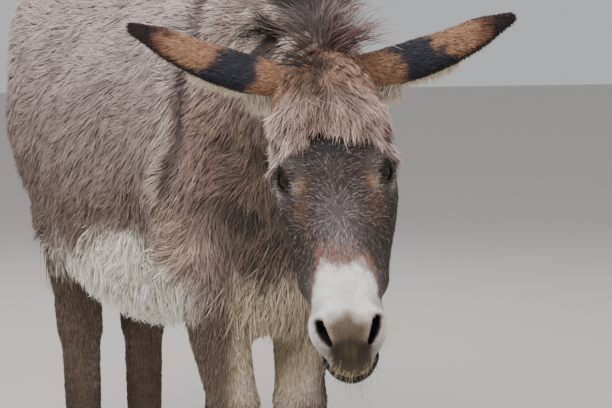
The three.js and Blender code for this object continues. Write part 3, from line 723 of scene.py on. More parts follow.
IRIS, IRIS_EDGE, PUPIL, SCLERA = srgb(50, 29, 17), srgb(18, 11, 8), srgb(4, 4, 6), srgb(60, 44, 36)
HORN_DARK, HORN_PALE, HORN_SOLE = srgb(74, 66, 60), srgb(120, 108, 94), srgb(88, 80, 70)
BELLY_LINE = ((-330, -250, -150, 0, 240, 330, 420), (590, 622, 636, 618, 594, 560, 520))  # height along y


def wave_noise(p, scale, seed, waves=10):
    """Smooth noise of about unit spread, with features about half of `scale` wide."""
    source = np.random.default_rng(seed)
    k = unit(source.normal(size=(waves, 3))) * (2 * np.pi / scale) * source.uniform(0.7, 1.5, (waves, 1))
    return np.sin(p @ k.T + source.uniform(0, 2 * np.pi, waves)).sum(1) * np.sqrt(2 / waves)


def plain(colour, count):
    return np.tile(colour, (count, 1))


def tint(c, colour, weight):
    return c + (colour - c) * np.clip(weight, 0, 1)[:, None]


def stripe_line(z):
    """Where the shoulder stripe lies along the body, for a height."""
    return -357 + 0.48 * np.clip(z - 993, 0, None)


def neck_colour(p, high):
    neck = tint(plain(NECK_DARK, len(p)), SHOULDER, ramp(780, 890, high))
    neck = tint(neck, THROAT, ramp(760, 700, high))
    patches = ramp(0.0, 1.0, wave_noise(p, 80, 10)) * ramp(900, 800, p[:, 2]) * ramp(-400, -460, p[:, 1])
    return tint(neck, CHESTNUT, 0.75 * patches)


def with_stripes(c, p, high, ragged):
    """The pale ridge and elbow, the crest, and the dark stripes over the shoulders and down the back."""
    x, y, z = p.T
    stripe_y = stripe_line(z) + 0.12 * ragged
    ridge = bump(y, stripe_y + 26, 17) * ramp(690, 760, z) * ramp(1000, 900, z)
    c = tint(c, RIDGE, 0.6 * ridge * ramp(50, 90, np.abs(x)))
    c = tint(c, ELBOW, 0.75 * bump(y, -350, 58) * bump(z, 668, 85) * ramp(90, 120, np.abs(x)))
    crest = ramp(-415, -450, y) * ramp(945, 985, z + 0.4 * ragged)
    c = tint(c, CREST_PALE, 0.75 * crest)
    c = tint(c, STRIPE, 0.6 * crest * ramp(0.5, 1.1, wave_noise(p, 70, 97)))
    worn = mix(0.75, 1.0, ramp(-0.6, 0.2, wave_noise(p, 120, 9)))
    stripe = bump(y, stripe_y, 13) * ramp(740, 800, high) * worn
    dorsal = bump(x, 0.15 * ragged, 13) * ramp(985, 1010, z) * ramp(-400, -340, y)
    return tint(c, STRIPE, 0.95 * np.maximum(stripe, dorsal))


def with_legs_and_belly(c, p, n, high, ragged):
    """The dark legs with their paler insides, the cream belly and the pale chest."""
    x, y, z = p.T
    fore = y < LEGS_PART_Y
    near_legs = np.maximum(ramp(150, 110, np.abs(y - FORE_Y)), ramp(215, 170, np.abs(y - HIND_Y)))
    legs = ramp(590, 500, high) * near_legs
    c = tint(c, LEG, legs)
    c = tint(c, LEG_LOW, legs * ramp(330, 180, high) + 0.7 * ramp(110, 70, z))
    inwards = -n[:, 0] * np.sign(x - np.where(fore, SHIFT_FORE, SHIFT_HIND * 0.8))
    inside = ramp(0.15, 0.7, inwards + 0.012 * ragged) * np.where(fore, 0.8, 0.12)
    c = tint(c, LEG_INSIDE, inside * ramp(600, 520, z) * ramp(240, 330, high))
    c = tint(c, CHESTNUT, 1.5 * (bump(z, 400, 22) * bump(y, FORE_Y + 4, 13) * ramp(0.3, 0.7, inwards)))
    line = np.interp(y, *BELLY_LINE)
    belly = ramp(line + 44, line - 34, high + 10 * wave_noise(p, 22, 98))
    belly = belly * ramp(-385, -330, y) * ramp(430, 340, y)
    belly *= 1 - legs * ramp(0.25, -0.1, inwards)
    belly *= 1 - legs * ramp(570, 460, high) * np.where(fore, 0.75, 0.95)
    c = tint(c, CREAM, belly)
    chest = ramp(642, 600, high) * ramp(100, 70, np.abs(x - 8)) * ramp(-300, -350, y) * ramp(330, 400, z)
    return tint(c, CHEST, chest)


def body_colour(p, n):
    x, y, z = p.T
    ragged = 13 * wave_noise(p, 110, 3) + 8 * wave_noise(p, 38, 4)
    high = z + ragged
    # Lighter towards the top and darker low on the flanks: painted light from above and painted shade below
    c = tint(plain(SHADED_BODY_LOW, len(p)), BODY_MID, ramp(680, 860, high))
    c = tint(c, LIT_BODY_TOP, ramp(840, 1030, high))
    c = tint(c, neck_colour(p, high), ramp(-345, -440, y + 0.4 * ragged))
    c = tint(c, NECK_RUST, 0.55 * (bump(y, -400, 34) * bump(z, 860, 90) * ramp(60, 100, np.abs(x))))
    c = with_stripes(c, p, high, ragged)
    return with_legs_and_belly(c, p, n, high, ragged)


def face_colour(x, y, z, ragged):
    """The dark face with rust beside its middle, a painted shadow under the forelock, painted shade in the
    hollows by the nostrils and above the nose, and the white muzzle beyond a slanted edge.
    """
    grey = 0.6 * bump(x, 0, 28) * ramp(215, 262, y) * ramp(345, 300, y)
    c = tint(plain(FACE_DARK, len(x)), FACE_GREY, grey)
    # Near-black on the front of the face under the forelock's fringe: painted shadow of the overhanging wool
    c = tint(c, FORELOCK_SHADOW, bump(x, 4, 44) * ramp(196, 158, y) * ramp(70, 40, z))
    rusty = bump(x, 47 + 3 * ragged, 14) * ramp(180, 205, y) * ramp(310, 240, y + 8 * ragged)
    c = tint(c, RUST, (0.42 + 0.16 * ragged) * (rusty * ramp(66, 34, z)))
    c = tint(c, CHEEK, ramp(30, 62, z))
    c = tint(c, NECK_DARK, 0.8 * ramp(95, 150, z + 6 * ragged))
    c = tint(c, JAW, ramp(170, 215, z + 8 * ragged) * ramp(60, 160, y))
    c = tint(c, POLL_TAN, ramp(110, 60, y))
    edge = y + 7 * ragged - 70 * ramp(34, 56, x + 3 * ragged) - 0.1 * z
    c = tint(c, EDGE, 0.9 * ramp(286, 308, edge) * ramp(54, 38, x) * mix(0.7, 1.0, ramp(4, 16, x)))
    c = tint(c, WHITE, ramp(316, 342, edge))
    c = tint(c, WHITE, ramp(386, 404, y))
    # Grey beside and below the nostrils and above the nose: painted shade in the hollows, with the wings' own
    # grey below the nostrils
    shade_and_grey_by_nostril = 0.75 * bump(np.hypot(x - 45, y - 388), 0, 13) + 0.6 * ramp(412, 450, y) * ramp(36, 46, x)
    shade_above_nose = 0.45 * bump(x, 0, 20) * bump(y, 378, 24) + 0.25 * bump(x, 46, 12) * bump(y, 350, 26)
    return tint(tint(c, HOLLOW_SHADE_AND_GREY, shade_and_grey_by_nostril), HOLLOW_SHADE_AND_GREY, shade_above_nose)


def with_nose_and_lips(c, x, y, z, ragged):
    """The bare nose between the nostrils, the upper lip with painted shade in its wrinkles, and the mouth's
    line.
    """
    nose = ramp(386, 428, y + 4 * ragged) * ramp(39, 26, x) * ramp(70, 58, z)
    c = tint(c, NOSE_PINK, nose)
    c = tint(c, NOSE, nose * ramp(404, 434, y + 2 * ragged + 8 * bump(x, 0, 12)))
    c = tint(c, OLIVE, 0.75 * nose * ramp(404, 436, y) * (bump(x, 0, 7) + 0.7 * bump(x, 13, 4)))
    lip = ramp(437, 453, y + 2 * ragged) * ramp(34, 25, x) * ramp(78, 66, z)
    c = tint(c, LIP, lip)
    c = tint(c, OCHRE, 0.7 * lip * bump(x, 0, 7) * bump(y, 459, 7) + 0.35 * lip * ramp(40, 60, z))
    # Dark lines down the midline and along the folds of the upper lip: painted shade in the creases
    slanted = bump(x, 6 + 0.25 * (y - 440), 1.6)
    wrinkle_shade = 0.8 * bump(x, 0, 1.8) * ramp(430, 446, y) + 0.35 * slanted * ramp(424, 438, y)
    for fold in (11.0, 18.0, 26.0):
        wrinkle_shade = wrinkle_shade + 0.3 * bump(x, fold + 0.8 * ragged, 1.5) * ramp(416, 430, y)
    c = tint(c, CREASE_SHADE, wrinkle_shade * ramp(480, 466, y) * ramp(72, 60, z))
    c = tint(c, LIP_SIDE, 0.8 * (ramp(432, 448, y) * ramp(24, 33, x) * ramp(36, 48, z)))
    slit = z - mouth_depth(y)
    mouth = ramp(400, 425, y)
    c = tint(c, LIP_RIM, 0.8 * bump(slit, -5, 3.5) * mouth * ramp(36, 24, x))
    return tint(c, LOWER_LIP, mouth * ramp(-2.5, 0, slit) * ramp(22, 15, slit))


def with_nostril_marks(c, q, s):
    x, y = q[:, 0] * s, q[:, 1]
    around, depth = nostril_field(q, s)
    near = ((x > 0) & (depth < 32) & (depth > -30)).astype(float)
    outer = near * ramp(-2, 4, x - np.interp(y, (417, 446), (41, 30)))
    # Grey round the outer side of the nostril: painted shade
    c = tint(c, HOLLOW_SHADE_AND_GREY, 0.9 * outer * bump(around, 2, 5))
    c = tint(c, NOSE_PINK, 0.8 * near * (1 - outer) * bump(around, 3.5, 4) * ramp(450, 436, y))
    # Near-black inside the passage: painted shade
    return tint(c, NOSTRIL_SHADE, near * ramp(2.6, -0.6, around) * ramp(-14, -5, depth))


def with_eye_marks(c, q, s):
    """Pale crescents above and below the eye, a rusty spot at its corner, and the dark rims of the lids."""
    u, w, g, r = eye_place(q, s)
    eye = ramp(75, 50, r) * (g > -12)
    c = tint(c, UNDER_EYE, 1.1 * eye * bump(w, -19, 7) * bump(u, 6, 15))
    c = tint(c, UNDER_EYE, 0.1 * eye * bump(w, 25, 9) * bump(u, -6, 20))
    below = np.hypot((q[:, 0] * s - 54) / 0.8, (q[:, 1] - 208) / 1.3)
    c = tint(c, UNDER_EYE, 0.8 * bump(below, 0, 8) * ramp(64, 52, q[:, 2]))
    c = tint(c, EYE_CORNER, 0.9 * bump(np.linalg.norm(q - (s * 50, 211, 10), axis=1), 0, 9))
    gap = np.abs(w + 0.5) - slit_height(u)
    return tint(c, LID, eye * ramp(4.5, 2.0, gap) * ramp(32, 25, r) * ramp(24, 20, np.abs(u)))


def head_colour(q):
    x, y, z = np.abs(q[:, 0]), q[:, 1], q[:, 2]
    ragged = wave_noise(q, 60, 5) + 0.7 * wave_noise(q, 22, 6)
    c = with_nose_and_lips(face_colour(x, y, z, ragged), x, y, z, ragged)
    for s in SIDES:
        c = with_eye_marks(with_nostril_marks(c, q, s), q, s)
    return c


def markings(p, n):
    q = to_head(p)
    h = head_weight(q)
    return body_colour(p, n) * (1 - h)[:, None] + head_colour(q) * h[:, None]


# ---- Lie of the coat ----
def body_flow(p, n):
    y, z = p[:, 1], p[:, 2]
    steep = mix(0.5, 1.3, ramp(1000, 700, z))
    d = np.stack((0 * y, 1 + 0 * y, -steep), 1)
    limbs = np.maximum(ramp(170, 120, np.abs(y - FORE_Y)), ramp(230, 180, np.abs(y - HIND_Y)))
    for way, weight in (
        ((0, 0.7, -1.0), ramp(-330, -460, y)),  # neck
        ((0, 0.15, -1.0), ramp(-350, -430, y) * ramp(760, 640, z)),  # chest
        ((0, 0.2, -1.0), ramp(430, 560, y)),  # buttocks
        ((0, 1.0, -0.1), ramp(0.7, 0.95, n[:, 2])),  # back
        ((0, 0.08, -1.0), ramp(640, 520, z) * limbs),
    ):
        d = mix(d, np.array(way), weight[:, None])
    return d


def head_flow(q):
    """Hair leaves a whorl in the middle of the face, outwards above it and towards the nose below it."""
    dx, dy = q[:, 0] + 2, q[:, 1] - 276
    above = ramp(8, -30, dy)
    out = np.clip(dx / 30, -1, 1)
    fx = out * mix(0.45, 1.0, above)
    fy = mix(1.0, -0.3, above) + 0.9 * above * ramp(35, 70, q[:, 2])
    fz = 0.9 * ramp(25, 75, q[:, 2]) + 0.1
    return np.stack((fx, fy, fz), 1)


def noise_vectors(p, scale, seed):
    return np.stack([wave_noise(p, scale, seed + i) for i in range(3)], 1)


def along_skin(d, normal):
    return unit(d - normal * (d * normal).sum(1, keepdims=True))


def lie_of_coat(p, n, swirl=0.2):
    q = to_head(p)
    h = head_weight(q)[:, None]
    d = unit(body_flow(p, n)) * (1 - h) + unit(head_flow(q)) @ HEAD * h
    wobble = noise_vectors(p, 130, 11) + 0.6 * noise_vectors(p, 48, 21)
    return along_skin(d + swirl * wobble * mix(1.0, 0.35, h), n)


# ---- Tufts: tapered blades rooted in the skin ----
TUFT_PATCH = 0.003  # width of a tuft's patch on the baking map
BLADE_ROLL = 0.45  # radians, the spread of blades' turns about their own length
BLADE_SUNK = 1.0  # mm of each blade inside the skin
NEIGHBOURS = [(i, j, k) for i in (-1, 0, 1) for j in (-1, 0, 1) for k in (-1, 0, 1)]
BODY_SHADE = (0.7, 0.88, 1.0, 1.08)  # how light a blade is from its root to its tip: painted shade at the root, a paler tip
FINE_SHADE = (0.7, 0.9, 1.0, 1.1)


def random_cells(cell, seed):
    """Three numbers from 0 to 1 for each integer cell."""
    mask = np.uint64(0xFFFFFFFF)
    c = (cell.astype(np.int64) + 4096).astype(np.uint64)
    h = c[:, 0] * np.uint64(73856093) ^ c[:, 1] * np.uint64(19349663) ^ c[:, 2] * np.uint64(83492791)
    h = (h + np.uint64(seed * 7919)) & mask
    out = []
    for _ in range(3):
        h = (h ^ (h >> np.uint64(15))) * np.uint64(2246822519) & mask
        h = (h ^ (h >> np.uint64(13))) * np.uint64(3266489917) & mask
        out.append((h & np.uint64(0xFFFFFF)).astype(float) / 0x1000000)
    return np.stack(out, 1)


def locks(p, size, seed):
    """The centre of the lock that each point belongs to, and a number from 0 to 1 for the lock."""
    base = np.floor(p / size).astype(int)
    best = np.full(len(p), 1e18)
    centre, key = np.zeros_like(p), np.zeros(len(p))
    for neighbour in NEIGHBOURS:
        cell = base + neighbour
        r = random_cells(cell, seed)
        at = (cell + r) * size
        d = ((p - at) ** 2).sum(1)
        closer = d < best
        best = np.where(closer, d, best)
        centre[closer] = at[closer]
        key[closer] = ((r[:, 0] * 7.3 + r[:, 1] * 3.1) % 1.0)[closer]
    return centre, key


def gathered(root, normal, size, seed, strength):
    """How far each blade's tip is drawn towards its lock's middle, and the lock's number."""
    centre, key = locks(root, size, seed)
    away = centre - root
    away -= normal * (away * normal).sum(1, keepdims=True)
    return away * strength, key


def varied(colour, key, spread=0.16, pale=0.12, dark=0.12):
    """Colour differences from lock to lock and from tuft to tuft."""
    n = len(colour)
    level = (1 + spread * (2 * key - 1)) * (1 + rng.normal(0, 0.08, n))
    chance = rng.random(n)
    level = np.where(chance < pale, level * 1.28, level)
    level = np.where(chance > 1 - dark, level * 0.7, level)
    return colour * level[:, None]


def blade_rows(root, normal, flow, length, width, lift, segments, fall=0.8, droop=0.0, pull=None, bow=0.0):
    """Rows of point pairs up each blade, ending in its tip."""
    side = unit(np.cross(flow, normal))
    turn = rng.normal(0, BLADE_ROLL, len(root))[:, None]
    face = side * np.cos(turn) + normal * np.sin(turn)
    bowed = rng.normal(0, 1, len(root))[:, None] * bow
    centre = root - normal * BLADE_SUNK
    rows = []
    for k in range(segments + 1):
        t = k / segments
        if k:
            angle = (lift * (1 - fall * (t - 0.5 / segments)))[:, None]
            step = flow * np.cos(angle) + normal * np.sin(angle)
            step[:, 2] -= droop * t
            centre = centre + unit(step) * (length / segments)[:, None]
        middle = centre + side * bowed * (length * t * t)[:, None]
        if pull is not None:
            middle = middle + pull * t**1.4
        if k == segments:
            rows.append(middle)
        else:
            half = (0.5 * width * np.interp(t, (0, 0.35, 0.8, 1), (0.75, 1, 0.6, 0.3)))[:, None]
            rows += [middle - face * half, middle + face * half]
    return np.stack(rows, 1)


def coat_piece(name, nodes, rows, colour, place, shade=(0.5, 0.8, 1.0, 1.12)):
    """Makes one object from blade rows, with a colour for each point and a patch of map for each blade."""
    count, per, _ = rows.shape
    segments = (per - 1) // 2
    first = np.arange(count)[:, None] * per
    quads = [first + (2 * k, 2 * k + 1, 2 * k + 3, 2 * k + 2) for k in range(segments - 1)]
    faces = [np.concatenate(quads), first + (per - 3, per - 2, per - 1)]
    me = bpy.data.meshes.new(name)
    set_mesh(me, rows.reshape(-1, 3), faces)
    t = np.append(np.repeat(np.arange(segments), 2), segments) / segments
    # Each blade darker towards its root: painted shade inside the coat
    level = np.interp(t, (0, 0.3, 0.7, 1), shade)
    painted = colour[:, None, :] * level[None, :, None]
    paint(me, np.clip(painted, 0, 1).reshape(-1, 3))
    side = np.append(np.tile((0.0, 1.0), segments), 0.5)
    uv = place[:, None, :] * (1 - TUFT_PATCH) + TUFT_PATCH * np.stack((side, t), 1)[None]
    corner = np.concatenate([f.reshape(-1) for f in faces])
    layer = me.uv_layers.new(name="OFBake")
    layer.data.foreach_set("uv", uv.reshape(-1, 2)[corner].astype(np.float32).reshape(-1))
    add_piece(name, me, coat_material, nodes)


# ---- Materials ----
def shader_of(name, specular=None):
    material = bpy.data.materials.new(name)
    material.use_nodes = True
    nodes, links = material.node_tree.nodes, material.node_tree.links
    shader = nodes["Principled BSDF"]
    if specular is not None:
        shader.inputs["Specular IOR Level"].default_value = specular
    return material, nodes, links, shader


def noise_node(nodes, links, scale, detail=3.0, stretch=None):
    """Noise over the object's own coordinates, drawn out along an axis where `stretch` is small."""
    place = nodes.new("ShaderNodeTexCoord").outputs["Object"]
    if stretch is not None:
        mapping = nodes.new("ShaderNodeMapping")
        mapping.inputs["Scale"].default_value = stretch
        links.new(place, mapping.inputs["Vector"])
        place = mapping.outputs["Vector"]
    noise = nodes.new("ShaderNodeTexNoise")
    noise.inputs["Scale"].default_value = scale
    noise.inputs["Detail"].default_value = detail
    links.new(place, noise.inputs["Vector"])
    return noise.outputs["Fac"]


def map_range(nodes, links, value, low, high, from_low=0.0, from_high=1.0):
    spread = nodes.new("ShaderNodeMapRange")
    for name, number in (("From Min", from_low), ("From Max", from_high), ("To Min", low), ("To Max", high)):
        spread.inputs[name].default_value = number
    links.new(value, spread.inputs["Value"])
    return spread.outputs["Result"]


def vary_colour(nodes, links, shader, noise, low, high):
    """The painted colour times a number that follows the noise."""
    colour = nodes.new("ShaderNodeAttribute")
    colour.attribute_name = "coat"
    scaled = nodes.new("ShaderNodeVectorMath")
    scaled.operation = "SCALE"
    links.new(colour.outputs["Color"], scaled.inputs[0])
    links.new(map_range(nodes, links, noise, low, high, 0.3, 0.7), scaled.inputs["Scale"])
    links.new(scaled.outputs["Vector"], shader.inputs["Base Color"])


def vary_roughness(nodes, links, shader, noise, low, high):
    links.new(map_range(nodes, links, noise, low, high), shader.inputs["Roughness"])


def add_bump(nodes, links, shader, height, strength, distance):
    raised = nodes.new("ShaderNodeBump")
    raised.inputs["Strength"].default_value = strength
    raised.inputs["Distance"].default_value = distance
    links.new(height, raised.inputs["Height"])
    links.new(raised.outputs["Normal"], shader.inputs["Normal"])


def make_coat_material():
    material, nodes, links, shader = shader_of("coat", 0.3)
    noise = noise_node(nodes, links, 220.0)
    vary_colour(nodes, links, shader, noise, 0.8, 1.2)
    vary_roughness(nodes, links, shader, noise, 0.55, 0.8)
    shader.inputs["Sheen Weight"].default_value = 0.12
    shader.inputs["Sheen Roughness"].default_value = 0.5
    return material


def make_skin_material():
    material, nodes, links, shader = shader_of("skin", 0.3)
    vary_colour(nodes, links, shader, noise_node(nodes, links, 380.0, 5.0), 0.7, 1.15)
    pores = noise_node(nodes, links, 900.0, 4.0)
    add_bump(nodes, links, shader, pores, 0.35, 0.0008)
    vary_roughness(nodes, links, shader, pores, 0.5, 0.85)
    return material


def make_eye_material():
    """A dark ball under a clear wet film."""
    material, nodes, links, shader = shader_of("eye", 0.25)
    vary_colour(nodes, links, shader, noise_node(nodes, links, 900.0, 4.0), 0.7, 1.3)
    vary_roughness(nodes, links, shader, noise_node(nodes, links, 120.0), 0.03, 0.09)
    shader.inputs["Coat Weight"].default_value = 0.6
    shader.inputs["Coat Roughness"].default_value = 0.02
    shader.inputs["Coat IOR"].default_value = 1.38
    return material


def make_horn_material():
    """Horn with fine grain that runs down the hoof."""
    material, nodes, links, shader = shader_of("horn")
    grain = noise_node(nodes, links, 320.0, 4.0, (1.0, 1.0, 0.08))
    vary_colour(nodes, links, shader, grain, 0.7, 1.25)
    add_bump(nodes, links, shader, grain, 0.4, 0.001)
    vary_roughness(nodes, links, shader, grain, 0.4, 0.7)
    return material


coat_material, skin_material = make_coat_material(), make_skin_material()
eye_material, horn_material = make_eye_material(), make_horn_material()

# ---- Ears: rolled leaves held out sideways, open downwards ----
EAR_LENGTH, EAR_RADIUS, EAR_WALL, EAR_COAT = 256.0, 32.0, 3.0, 2.5
EAR_ROOT = -0.06  # where the shell starts, as a part of its length, inside the head
EAR_RINGS, EAR_SIDES = 44, 26
EAR_AIM = {1.0: (0.9, 0.1, 0.36, 0, 54), -1.0: (-0.93, 0.08, 0.26, 7, 58)}  # out, up, back, along, lift


def ear_station(s, t):
    """The ear's middle, spine, width, axis, radius and half the angle it reaches round, at t from 0 to 1."""
    out, up, back, along, lift = EAR_AIM[s]
    axis = unit(HEAD_LEFT * out + UP * up - HEADING * back)
    t = np.asarray(t, float)[:, None]
    centre = from_head((s * 48, along, 66)) + axis * EAR_LENGTH * t + UP * lift * t * t
    spine = UP * 0.8 + HEADING * mix(0.62, 0.1, t)
    spine = unit(spine - axis * (spine @ axis)[:, None])
    across = np.cross(axis, spine)
    bell = np.sin(np.pi * np.clip(0.24 + 0.58 * t, 0, 1)) ** 0.7
    tip = np.sqrt(np.clip((1.05 - t) / 0.26, 0, 1))
    radius = (EAR_RADIUS * bell * tip)[:, 0] - EAR_COAT
    opening = np.radians(mix(158, 96, np.sqrt(np.clip(t[:, 0], 0, 1))))
    return centre, spine, across, axis, radius, opening


def ear_opening(s, t):
    return ear_station(s, t)[5]


def ear_point(s, t, angle, inset=0.0):
    """Points on the ear, their outward normals, the directions that lead round to the rim, and the axis."""
    centre, spine, across, axis, radius, _ = ear_station(s, t)
    cos, sin = np.cos(angle)[:, None], np.sin(angle)[:, None]
    normal = spine * cos + across * sin
    around = across * cos - spine * sin
    ripple = 1 + 0.03 * np.sin(9 * angle + 5 * t) * t
    return centre + normal * ((radius - inset) * ripple)[:, None], normal, around, axis


def ear_shell(s):
    """Rings that run round the outside of the ear and back along its inside."""
    points = []
    for t in np.linspace(EAR_ROOT, 1.0, EAR_RINGS):
        *_, radius, opening = ear_station(s, [t])
        angle = opening[0] * np.linspace(-1, 1, EAR_SIDES)
        at = np.full(EAR_SIDES, t)
        inner = ear_point(s, at, angle, min(EAR_WALL, 0.5 * radius[0]))[0]
        points += [ear_point(s, at, angle)[0], inner[::-1]]
    return np.concatenate(points), tube_quads(EAR_RINGS, 2 * EAR_SIDES)


def ear_colour(t, angle, opening, noise):
    """Tan root, blue-black band that slants towards the tip, tan middle, and a dark tip and rims."""
    uneven = 0.02 * noise
    low = np.abs(angle) / opening
    start, end = 0.17 + 0.12 * low**2, 0.43 + 0.22 * low**2
    c = plain(EAR_TAN, len(t))
    c = tint(c, EAR_BAND, ramp(-0.04, 0.04, t + uneven - start) * ramp(0.04, -0.04, t + uneven - end))
    c = tint(c, EAR_RED, ramp(0.68, 0.82, t + uneven))
    c = tint(c, EAR_TIP, ramp(0.80, 0.91, t + uneven + 0.05 * low))
    return tint(c, EAR_TIP, ramp(0.74, 0.94, low) * ramp(0.25, 0.4, t))


def ear_shell_colour(s, points):
    outwards = np.linspace(-1, 1, EAR_SIDES)
    t = np.repeat(np.linspace(EAR_ROOT, 1.0, EAR_RINGS), 2 * EAR_SIDES)
    opening = ear_opening(s, t)
    angle = np.tile(np.concatenate((outwards, np.linspace(1, -1, EAR_SIDES))), EAR_RINGS) * opening
    inner = np.tile(np.repeat((0.0, 1.0), EAR_SIDES), EAR_RINGS)
    c = ear_colour(t, angle, opening, wave_noise(points, 30, 8))
    return tint(c, EAR_INSIDE, 0.9 * inner * ramp(0.95, 0.8, t))


# ---- Tail: the middle line of the dock, as (y, z, radius) ----
TAIL = np.array(
    (
        (470.0, 1062.0, 20.0), (538, 1054, 27), (576, 1004, 27), (587, 930, 24),
        (591, 840, 21), (592, 745, 17), (593, 700, 11),
    )
)
DOCK_RINGS, DOCK_SIDES = 36, 20


def tail_line(at):
    """The y, z and radius of the dock at places counted in points of its line."""
    return [np.interp(at, np.arange(len(TAIL)), column) for column in TAIL.T]


def tail_frame(t):
    """Middle, run, rise and radius of the dock at places from 0 to 1 along it."""
    at = np.asarray(t, float) * (len(TAIL) - 1)
    y, z, r = tail_line(at)
    ahead, behind = tail_line(np.minimum(at + 0.4, len(TAIL) - 1)), tail_line(np.maximum(at - 0.4, 0))
    dy, dz = ahead[0] - behind[0], ahead[1] - behind[1]
    run = unit(np.stack((0 * dy, dy, dz), 1))
    return np.stack((0 * y, y, z), 1), run, np.cross(run, ACROSS), r


def dock_shell():
    middle, _, rise, r = tail_frame(np.linspace(0, 1, DOCK_RINGS))
    angle = ring_angles(DOCK_SIDES)[None, :, None]
    around = np.cos(angle) * ACROSS + np.sin(angle) * rise[:, None, :]
    points = middle[:, None, :] + around * r[:, None, None]
    return points.reshape(-1, 3), tube_quads(DOCK_RINGS, DOCK_SIDES)


# ---- The skin as one object: the animal's own skin, then the left ear, the right ear and the dock ----
FLESH_NODES = ["trunk", "neck", "head", "muzzle", "lower_jaw"]
FLESH_NODES += [f"{part}_{side}" for part in ("ear", "foreleg", "hindleg") for side in ("left", "right")]
shells = [sewn_skin()]
shells += [(points, [quads]) for points, quads in (*map(ear_shell, SIDES), dock_shell())]
first_points = np.cumsum([0] + [len(points) for points, _ in shells])
skin_mesh = facing_out(
    "skin",
    np.concatenate([points for points, _ in shells]),
    [f + first for (_, faces), first in zip(shells, first_points) for f in faces],
)
all_points = points_of(skin_mesh)
normals = np.empty(len(all_points) * 3, np.float32)
skin_mesh.vertices.foreach_get("normal", normals)
normals = normals.reshape(-1, 3).astype(float)


def skin_colours():
    """The markings, with the ears' and the dock's own colours, a little darker than the coat over them."""
    colours = markings(all_points, normals)
    for s, first, end in zip(SIDES, first_points[1:], first_points[2:]):
        colours[first:end] = ear_shell_colour(s, all_points[first:end])
    colours[first_points[3] :] = BODY_MID
    q = to_head(all_points)
    return colours * (0.82 + 0.12 * ramp(300, 400, q[:, 1]) * head_weight(q))[:, None]


paint(skin_mesh, skin_colours())
add_piece("skin", skin_mesh, skin_material, FLESH_NODES)

# ---- Places for the coat's roots ----
skin_mesh.calc_loop_triangles()
corners = np.empty(len(skin_mesh.loop_triangles) * 3, np.int32)
skin_mesh.loop_triangles.foreach_get("vertices", corners)
corners = corners.reshape(-1, 3)
corners = corners[corners.max(1) < first_points[1]]
tri_points = all_points[corners]
tri_cross = np.cross(tri_points[:, 1] - tri_points[:, 0], tri_points[:, 2] - tri_points[:, 0])
tri_area = 0.5 * np.sqrt((tri_cross**2).sum(1))
tri_normal = unit(normals[corners].sum(1))
tri_middle = tri_points.mean(1)
tri_x, tri_y, tri_z = tri_middle.T
tri_q = to_head(tri_middle)
tri_out, tri_along, tri_deep = np.abs(tri_q[:, 0]), tri_q[:, 1], tri_q[:, 2]
tri_head = head_weight(tri_q)
tri_leg = leg_weight(tri_middle) > 0.45
tri_body = (tri_head < 0.5) & ~tri_leg


def scatter(density):
    """Roots and normals over the skin, with `density` tufts per square millimetre of each triangle."""
    weight = np.cumsum(tri_area * density)
    count = int(weight[-1])
    at = (np.arange(count) + rng.random(count)) / count * weight[-1]
    tri = np.minimum(np.searchsorted(weight, at), len(weight) - 1)
    a, b = np.sqrt(rng.random(count)), rng.random(count)
    share = np.stack((1 - a, a * (1 - b), a * b), 1)
    root = (tri_points[tri] * share[:, :, None]).sum(1)
    normal = unit((normals[corners[tri]] * share[:, :, None]).sum(1))
    return root, normal


# ---- Trunk, neck and legs ----
# tufts per square millimetre
BODY_DENSITY, LEG_DENSITY, FACE_DENSITY, CHEEK_DENSITY = 0.098, 0.085, 0.74, 0.15
FORELOCK_DENSITY, BELLY_DENSITY, CHEST_DENSITY = 0.42, 0.026, 0.06
BRISTLE_DENSITY, LIP_BRISTLE_DENSITY = 0.007, 0.09
TRUNK_MIDDLE_Z = 780.0  # where the baking map's angle round the trunk is measured from


def trunk_place(p):
    angle = np.arctan2(np.abs(p[:, 0]), p[:, 2] - TRUNK_MIDDLE_Z) / np.pi
    return np.stack(((p[:, 1] + 760) / 1400, angle), 1)


def leg_place(p):
    fore = p[:, 1] < LEGS_PART_Y
    x = p[:, 0] - np.where(fore, SHIFT_FORE, SHIFT_HIND)
    left = x > 0
    centre_x = np.where(left, 1, -1) * 68
    centre_y = np.where(fore, FORE_Y + 5, HIND_Y + 25)
    angle = np.arctan2(x - centre_x, p[:, 1] - centre_y) / (2 * np.pi) + 0.5
    return np.stack((0.5 * left + 0.49 * angle, np.clip(p[:, 2] / 720, 0, 1)), 1)


def body_length(p):
    y, z = p[:, 1], p[:, 2]
    length = 33 + 4 * wave_noise(p, 220, 31)
    length = mix(length, 40.0, ramp(-380, -450, y) * ramp(760, 640, z))
    length = mix(length, 15.0, ramp(600, 460, z) * leg_weight(p))
    length = mix(length, 11.0, ramp(330, 200, z) * leg_weight(p))
    length = mix(length, 20.0, ramp(112, 84, z))
    length = length * (1 - 0.45 * bump(y, stripe_line(z) - 8, 20) * ramp(740, 800, z))
    return length * rng.uniform(0.75, 1.2, len(p))


def trunk_lift(root, key):
    """How steeply the coat stands, in radians, changing over the body and from lock to lock."""
    lift = np.radians(23 + 5 * wave_noise(root, 160, 33) + rng.normal(0, 6, len(root)))
    return lift + np.radians(16) * (key - 0.5)


def leg_lift(root, key):
    return np.radians(17 + rng.normal(0, 5, len(root)))


def short_coat(name, density, swirl, lock_size, seed, lift_of, widths, fall, bow, place_of):
    """One region of short hair on the body."""
    root, normal = scatter(density)
    flow = lie_of_coat(root, normal, swirl)
    pull, key = gathered(root, normal, lock_size, seed, 0.5)
    length = body_length(root)
    lift = lift_of(root, key)
    width = rng.uniform(*widths, len(root))
    rows = blade_rows(root, normal, flow, length, width, lift, 2, fall=fall, pull=pull, bow=bow)
    coat_piece(name, (), rows, varied(markings(root, normal), key), place_of(root), BODY_SHADE)


